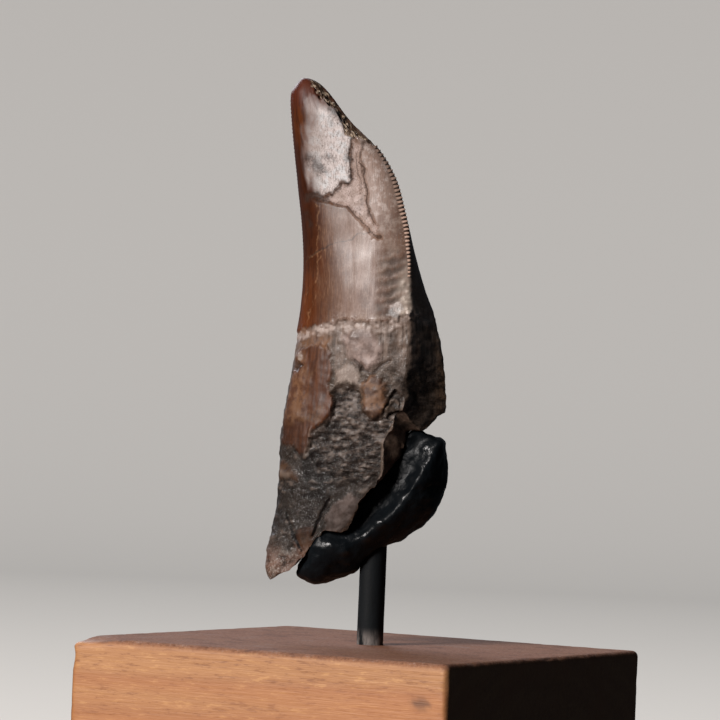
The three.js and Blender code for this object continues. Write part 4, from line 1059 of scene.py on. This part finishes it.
def makeCradle():
    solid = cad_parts["cradle"]
    made = bpy.data.objects.new("puttyCradle", solid.data.copy())
    made.data.transform(standing.inverted() @ solid.matrix_world)
    bpy.context.scene.collection.objects.link(made)
    remesh = made.modifiers.new("even", "REMESH")
    remesh.mode, remesh.voxel_size = "VOXEL", cradle["voxel"]
    relax = made.modifiers.new("relax", "SMOOTH")
    relax.factor, relax.iterations = cradle["relaxing"], cradle["relaxRounds"]
    applyModifiers(made)
    points = pointsOf(made)
    # press what lies near the break onto it, and leave the rest lumpy
    broken = BVHTree.FromPolygons(place.tolist(), [p.vertices[:] for p in toothPiece.data.polygons])
    hits = [broken.find_nearest(p) for p in points.tolist()]
    near, normal = (np.array([tuple(hit[k]) for hit in hits]) for k in (0, 1))
    gap = points - near
    distance = np.linalg.norm(gap, axis=1)
    distance *= np.where(((gap * normal).sum(1) < 0) & (distance < cradle["pressedWithin"]), -1, 1)
    pressed = 1 - smooth(distance, cradle["pressedWithin"] * 0.6, cradle["pressedWithin"])
    rise = (cradle["lumpRise"] * bumps(points, cradle["lumpSize"], 2, 31)
            + cradle["dentRise"] * bumps(points, cradle["dentSize"], 2, 32))
    rubbed = np.zeros(len(points))
    for (x, z), width, size in cradle["lipLumps"]:
        lump = np.exp(-(np.hypot(points[:, 0] - x, points[:, 2] - z) / width) ** 2)
        rise += size * lump * (points[:, 1] < 0)
        rubbed = np.maximum(rubbed, lump)
    rise = np.minimum(rise, cradle["highest"]) * smooth(distance, cradle["looseFrom"], cradle["looseTo"])
    loose = points + normalsOf(made) * rise[:, None]
    contact = near + normal * cradle["contact"]
    movePoints(made, calmSpikes(made, mixed(loose, contact, pressed[:, None]), cradle["spike"]))
    made.data.transform(standing)
    keep(made, "rubbed", rubbed)
    return made


def puttyMaterial():
    # epoxy putty pressed on by hand and painted black: soft finger marks, and glints where the lip
    # is rubbed
    made, tree = newMaterial("epoxy putty, pressed and painted black")
    at = addNode(tree, "TexCoord").outputs["Object"]
    marks = addNode(tree, "TexNoise", {"Vector": at, "Scale": 420, "Detail": 4, "Roughness": 0.55})
    dust = addNode(tree, "TexNoise", {"Vector": at, "Scale": 160, "Detail": 6, "Roughness": 0.7})
    tone = addNode(tree, "Mix", {0: dust.outputs[0], 6: "#050608", 7: "#101417"}, data_type="RGBA")
    rough = addNode(tree, "MapRange", {"Value": marks.outputs[0], "From Min": 0.35, "From Max": 0.65,
                                       "To Min": 0.25, "To Max": 0.5})
    rubbed = addNode(tree, "Attribute", attribute_name="rubbed").outputs["Fac"]
    rough = addNode(tree, "Mix", {0: rubbed, 2: rough.outputs[0], 3: 0.27})
    shine = addNode(tree, "Mix", {0: rubbed, 2: 0.1, 3: 0.42}).outputs[0]
    bump = addNode(tree, "Bump", {"Height": marks.outputs[0], "Strength": 1, "Distance": 0.0004})
    surface = addNode(tree, "BsdfPrincipled", {"Base Color": tone.outputs[2], "Roughness": rough.outputs[0],
                                               "IOR": 1.5, "Specular IOR Level": shine,
                                               "Normal": bump.outputs[0]})
    addNode(tree, "OutputMaterial", {"Surface": surface.outputs[0]})
    return made


finishPiece(makeCradle(), puttyMaterial(), "cradle", 60)
print("cradle finished")


pin = {"radius": 2.5, "low": -14, "high": 24.5, "chamfer": 0.4, "sides": 72, "step": 0.5, "waver": 0.02}


def makePin():
    low, high, c = pin["low"], pin["high"], pin["chamfer"]
    heights = np.concatenate([[low, low + c * 0.4, low + c], np.arange(low + 1, high - 0.9, pin["step"]),
                              [high - c, high - c * 0.4, high]])
    inset = np.zeros(len(heights))
    inset[[0, -1]], inset[[1, -2]] = c, c * 0.35
    turn = np.linspace(0, 2 * np.pi, pin["sides"], endpoint=False)
    radius = (pin["radius"] - inset)[:, None] * np.ones(len(turn))
    upright = heights[:, None] * np.ones(len(turn))
    grid = np.stack([radius * np.cos(turn), radius * np.sin(turn), upright], -1)
    wave = np.minimum(bumps(grid.reshape(-1, 3), 3, 2, 41, (1, 1, 3)), 0)
    wave = pin["waver"] * wave.reshape(radius.shape)
    grid[..., :2] *= (1 + wave / pin["radius"])[..., None]
    return makePiece("steelPin", *closedLoft(grid[::-1]), place=standing)


def pinMaterial():
    # mild steel rod, painted satin black: blue-grey mottling, dust at its foot
    made, tree = newMaterial("steel rod, painted satin black")
    at = addNode(tree, "TexCoord").outputs["Object"]
    drawn = addNode(tree, "VectorMath", {0: at, 1: (1, 1, 0.25)}, operation="MULTIPLY").outputs[0]
    mottle = addNode(tree, "TexNoise", {"Vector": drawn, "Scale": 700, "Detail": 5, "Roughness": 0.65})
    speck = addNode(tree, "TexNoise", {"Vector": at, "Scale": 2200, "Detail": 2, "Roughness": 0.6})
    height = addNode(tree, "SeparateXYZ", {0: at}).outputs["Z"]
    low = addNode(tree, "MapRange", {"Value": height, "From Min": foot.z + 0.0035, "From Max": foot.z},
                  interpolation_type="SMOOTHSTEP")
    patch = addNode(tree, "MapRange", {"Value": mottle.outputs[0], "From Min": 0.42, "From Max": 0.6})
    dusty = addNode(tree, "Math", {0: low.outputs[0], 1: patch.outputs[0]}, operation="MULTIPLY")
    tone = addNode(tree, "Mix", {0: mottle.outputs[0], 6: "#050607", 7: "#121619"}, data_type="RGBA")
    tone = addNode(tree, "Mix", {0: dusty.outputs[0], 6: tone.outputs[2], 7: "#77706c"}, data_type="RGBA")
    rough = addNode(tree, "MapRange", {"Value": mottle.outputs[0], "From Min": 0.3, "From Max": 0.7,
                                       "To Min": 0.6, "To Max": 0.8})
    bump = addNode(tree, "Bump", {"Height": speck.outputs[0], "Strength": 0.35, "Distance": 0.0001})
    surface = addNode(tree, "BsdfPrincipled", {"Base Color": tone.outputs[2], "Roughness": rough.outputs[0],
                                               "IOR": 1.5, "Specular IOR Level": 0.14,
                                               "Normal": bump.outputs[0]})
    addNode(tree, "OutputMaterial", {"Surface": surface.outputs[0]})
    return made


finishPiece(makePin(), pinMaterial(), "pin")
print("pin finished")


block = {
    "side": 79, "height": 45, "rounding": 1.2, "step": 0.9,
    "wornCorner": 1.0, "wornReach": 13,  # the top is sanded down at its front left corner
    "wornStretch": 1.6, "wornFrom": 8,  # less far along y, and down to this height above the middle
    "hole": 2.58, "holeDepth": 14.3,
    "nickSize": 3.5, "nickDepth": 0.25, "waveSize": 8, "waveDepth": 0.03,
    "edgeSpan": 2.7,  # of a side, where its points are closer
    "knot": [[34.4, -39.5, 37.8], 1.1],  # its middle and half height
}


def edgeSteps(half, step):
    # positions along a side, closer where its ends are rounded
    near = np.array([0, 0.1, 0.25, 0.45, 0.7, 1.0, 1.4, 2.0])
    flat = half - block["edgeSpan"]
    middle = np.linspace(-flat, flat, int(2 * flat / step) + 1)
    return np.concatenate([-half + near, middle, (half - near)[::-1]])


def makeBlock():
    half = np.array([block["side"], block["side"], block["height"]]) / 2
    lines = [edgeSteps(h, block["step"]) for h in half]
    points, quads = [], []
    for axis in range(3):
        a, b = (axis + 1) % 3, (axis + 2) % 3
        for end in (-1, 1):
            p, q = np.meshgrid(lines[a], lines[b], indexing="ij")
            sheet = np.zeros(p.shape + (3,))
            sheet[..., axis], sheet[..., a], sheet[..., b] = end * half[axis], p, q
            first = sum(len(s) for s in points)
            columns = p.shape[1]
            corners = gridCorners(*p.shape) + [0, columns, columns + 1, 1]
            quads.append((first + corners)[:, ::end])
            points.append(sheet.reshape(-1, 3))
    points, quads = np.vstack(points), np.vstack(quads)
    _, unique, back = np.unique(np.round(points, 4), axis=0, return_index=True, return_inverse=True)
    points, quads = points[unique], back.ravel()[quads]
    core = np.clip(points, -(half - block["rounding"]), half - block["rounding"])
    away = points - core
    away /= np.maximum(np.linalg.norm(away, axis=1, keepdims=True), 1e-9)
    points = core + away * block["rounding"]
    # wear: a sanded corner, and small dents along the edges
    corner = np.hypot(points[:, 0] + half[0], (points[:, 1] + half[1]) * block["wornStretch"])
    up = smooth(points[:, 2], block["wornFrom"], half[2])
    points[:, 2] -= block["wornCorner"] * up * (1 - smooth(corner, 0, block["wornReach"]))
    onEdge = smooth(np.sort(np.abs(points) / half, axis=1)[:, 1], 0.955, 0.99)
    nicks = np.maximum(bumps(points, block["nickSize"], 3, 51), 0) ** 1.5
    waves = np.maximum(bumps(points, block["waveSize"], 2, 52), 0)
    points -= away * (block["nickDepth"] * onEdge * nicks + block["waveDepth"] * waves)[:, None]
    points[:, 2] += half[2]
    made = makePiece("woodBlock", points, quads.tolist())
    turn = np.linspace(0, 2 * np.pi, 48, endpoint=False)
    ring = np.column_stack([np.cos(turn), np.sin(turn), 0 * turn]) * block["hole"]
    bore = np.stack([ring + [0, 0, h] for h in (5, -block["holeDepth"])])
    joinOrCut(made, makePiece("bore", *closedLoft(bore), place=standing), "DIFFERENCE")
    return made


def woodMaterial():
    # walnut, sawn, sanded and oiled: straight grain along x, end grain on the sides, dust on top, and the
    # top painted darker, partly as painted shade
    made, tree = newMaterial("walnut, sanded and oiled")
    at = addNode(tree, "TexCoord").outputs["Object"]
    inMm = addNode(tree, "VectorMath", {0: at, 1: (1000, 1000, 1000)}, operation="MULTIPLY").outputs[0]
    fibre = addNode(tree, "VectorMath", {0: inMm, 1: (0.05, 1, 1)}, operation="MULTIPLY").outputs[0]
    warp = addNode(tree, "TexNoise", {"Vector": fibre, "Scale": 0.08, "Detail": 3})
    offset = addNode(tree, "VectorMath", {0: warp.outputs["Color"], 1: (0, 9, 9)},
                     operation="MULTIPLY").outputs[0]
    bent = addNode(tree, "VectorMath", {0: fibre, 1: offset}, operation="ADD").outputs[0]
    rings = addNode(tree, "TexWave", {"Vector": bent, "Scale": 0.06, "Distortion": 2.5, "Detail": 3},
                    wave_type="RINGS", rings_direction="X")
    short = addNode(tree, "VectorMath", {0: inMm, 1: (0.22, 1, 1)}, operation="MULTIPLY").outputs[0]
    pattern = {"warp": warp.outputs["Fac"]}
    for name, vector, scale, detail, rough in (
            ("pores", fibre, 2.2, 3, 0.7), ("figure", fibre, 0.35, 5, 0.6), ("speckle", inMm, 1.6, 5, 0.75),
            ("flecks", short, 1.3, 4, 0.7), ("dust", inMm, 0.14, 8, 0.8)):
        pattern[name] = addNode(tree, "TexNoise", {"Vector": vector, "Scale": scale, "Detail": detail,
                                                   "Roughness": rough}).outputs[0]
    knot, endGrain, top = (addNode(tree, "Attribute", attribute_name=name).outputs["Fac"]
                           for name in ("knot", "endGrain", "top"))
    tone = addNode(tree, "Mix", {0: pattern["figure"], 6: "#93613a", 7: "#c08c5c"},
                   data_type="RGBA").outputs[2]
    # tones laid over each other: which pattern lets them through between two values, softly or not, how
    # much, tone
    for let, low, high, soft, amount, over in (
            ("", 0, 1, "", rings.outputs["Fac"], "#a06c44"), ("pores", 0.36, 0.24, "", 1, "#6b4026"),
            ("flecks", 0.53, 0.68, "SMOOTHSTEP", 0.65, "#7d4d2c"),
            ("flecks", 0.45, 0.33, "SMOOTHSTEP", 0.42, "#cd9a64"),
            ("warp", 0.46, 0.64, "SMOOTHSTEP", 0.55, "#a8693d"),
            ("", 0, 1, "", knot, "#4a2b1b"), ("", 0, 1, "", endGrain, "#54351f"),
            # the top: a darker tone, partly dust and partly painted shade
            ("", 0, 1, "", top, "#7a5646"),
            ("dust", 0.5, 0.36, "SMOOTHSTEP", top, "#5e3c2e"),
            ("dust", 0.53, 0.64, "SMOOTHSTEP", top, "#84695c"),
            ("speckle", 0.5, 0.34, "", top, "#4d3024"), ("speckle", 0.55, 0.7, "", top, "#97857b")):
        if let:
            amount = addNode(tree, "MapRange", {"Value": pattern[let], "From Min": low, "From Max": high,
                                                "To Max": amount},
                             interpolation_type=soft or "LINEAR").outputs[0]
        tone = addNode(tree, "Mix", {0: amount, 6: tone, 7: over}, data_type="RGBA").outputs[2]
    bump = addNode(tree, "Bump", {"Height": pattern["pores"], "Strength": 0.5, "Distance": 0.00015})
    shine = addNode(tree, "Mix", {0: top, 2: 0.5, 3: 0.1}).outputs[0]
    matt = addNode(tree, "Mix", {0: top, 2: 0.55, 3: 0.95}).outputs[0]
    surface = addNode(tree, "BsdfPrincipled", {"Base Color": tone, "Roughness": matt, "IOR": 1.5,
                                               "Specular IOR Level": shine, "Normal": bump.outputs[0]})
    addNode(tree, "OutputMaterial", {"Surface": surface.outputs[0]})
    return made


blockPiece = makeBlock()
blockPoints = pointsOf(blockPiece) / millimetre
# the top face, which the material paints darker: dust and painted shade
keep(blockPiece, "top", 0.8 * smooth(blockPoints[:, 2], block["height"] - 1.3, block["height"] - 0.2))
knotAt, knotSize = block["knot"]
knotReach = np.linalg.norm((blockPoints - knotAt) / [2 * knotSize, 1, knotSize], axis=1)
keep(blockPiece, "knot", 0.75 * (1 - smooth(knotReach, 0.5, 1.2)))
# end grain drinks more oil
halfSide = block["side"] / 2
keep(blockPiece, "endGrain", 0.6 * smooth(np.abs(blockPoints[:, 0]), halfSide - 1, halfSide))
finishPiece(blockPiece, woodMaterial(), "block", 50)
print("block finished")
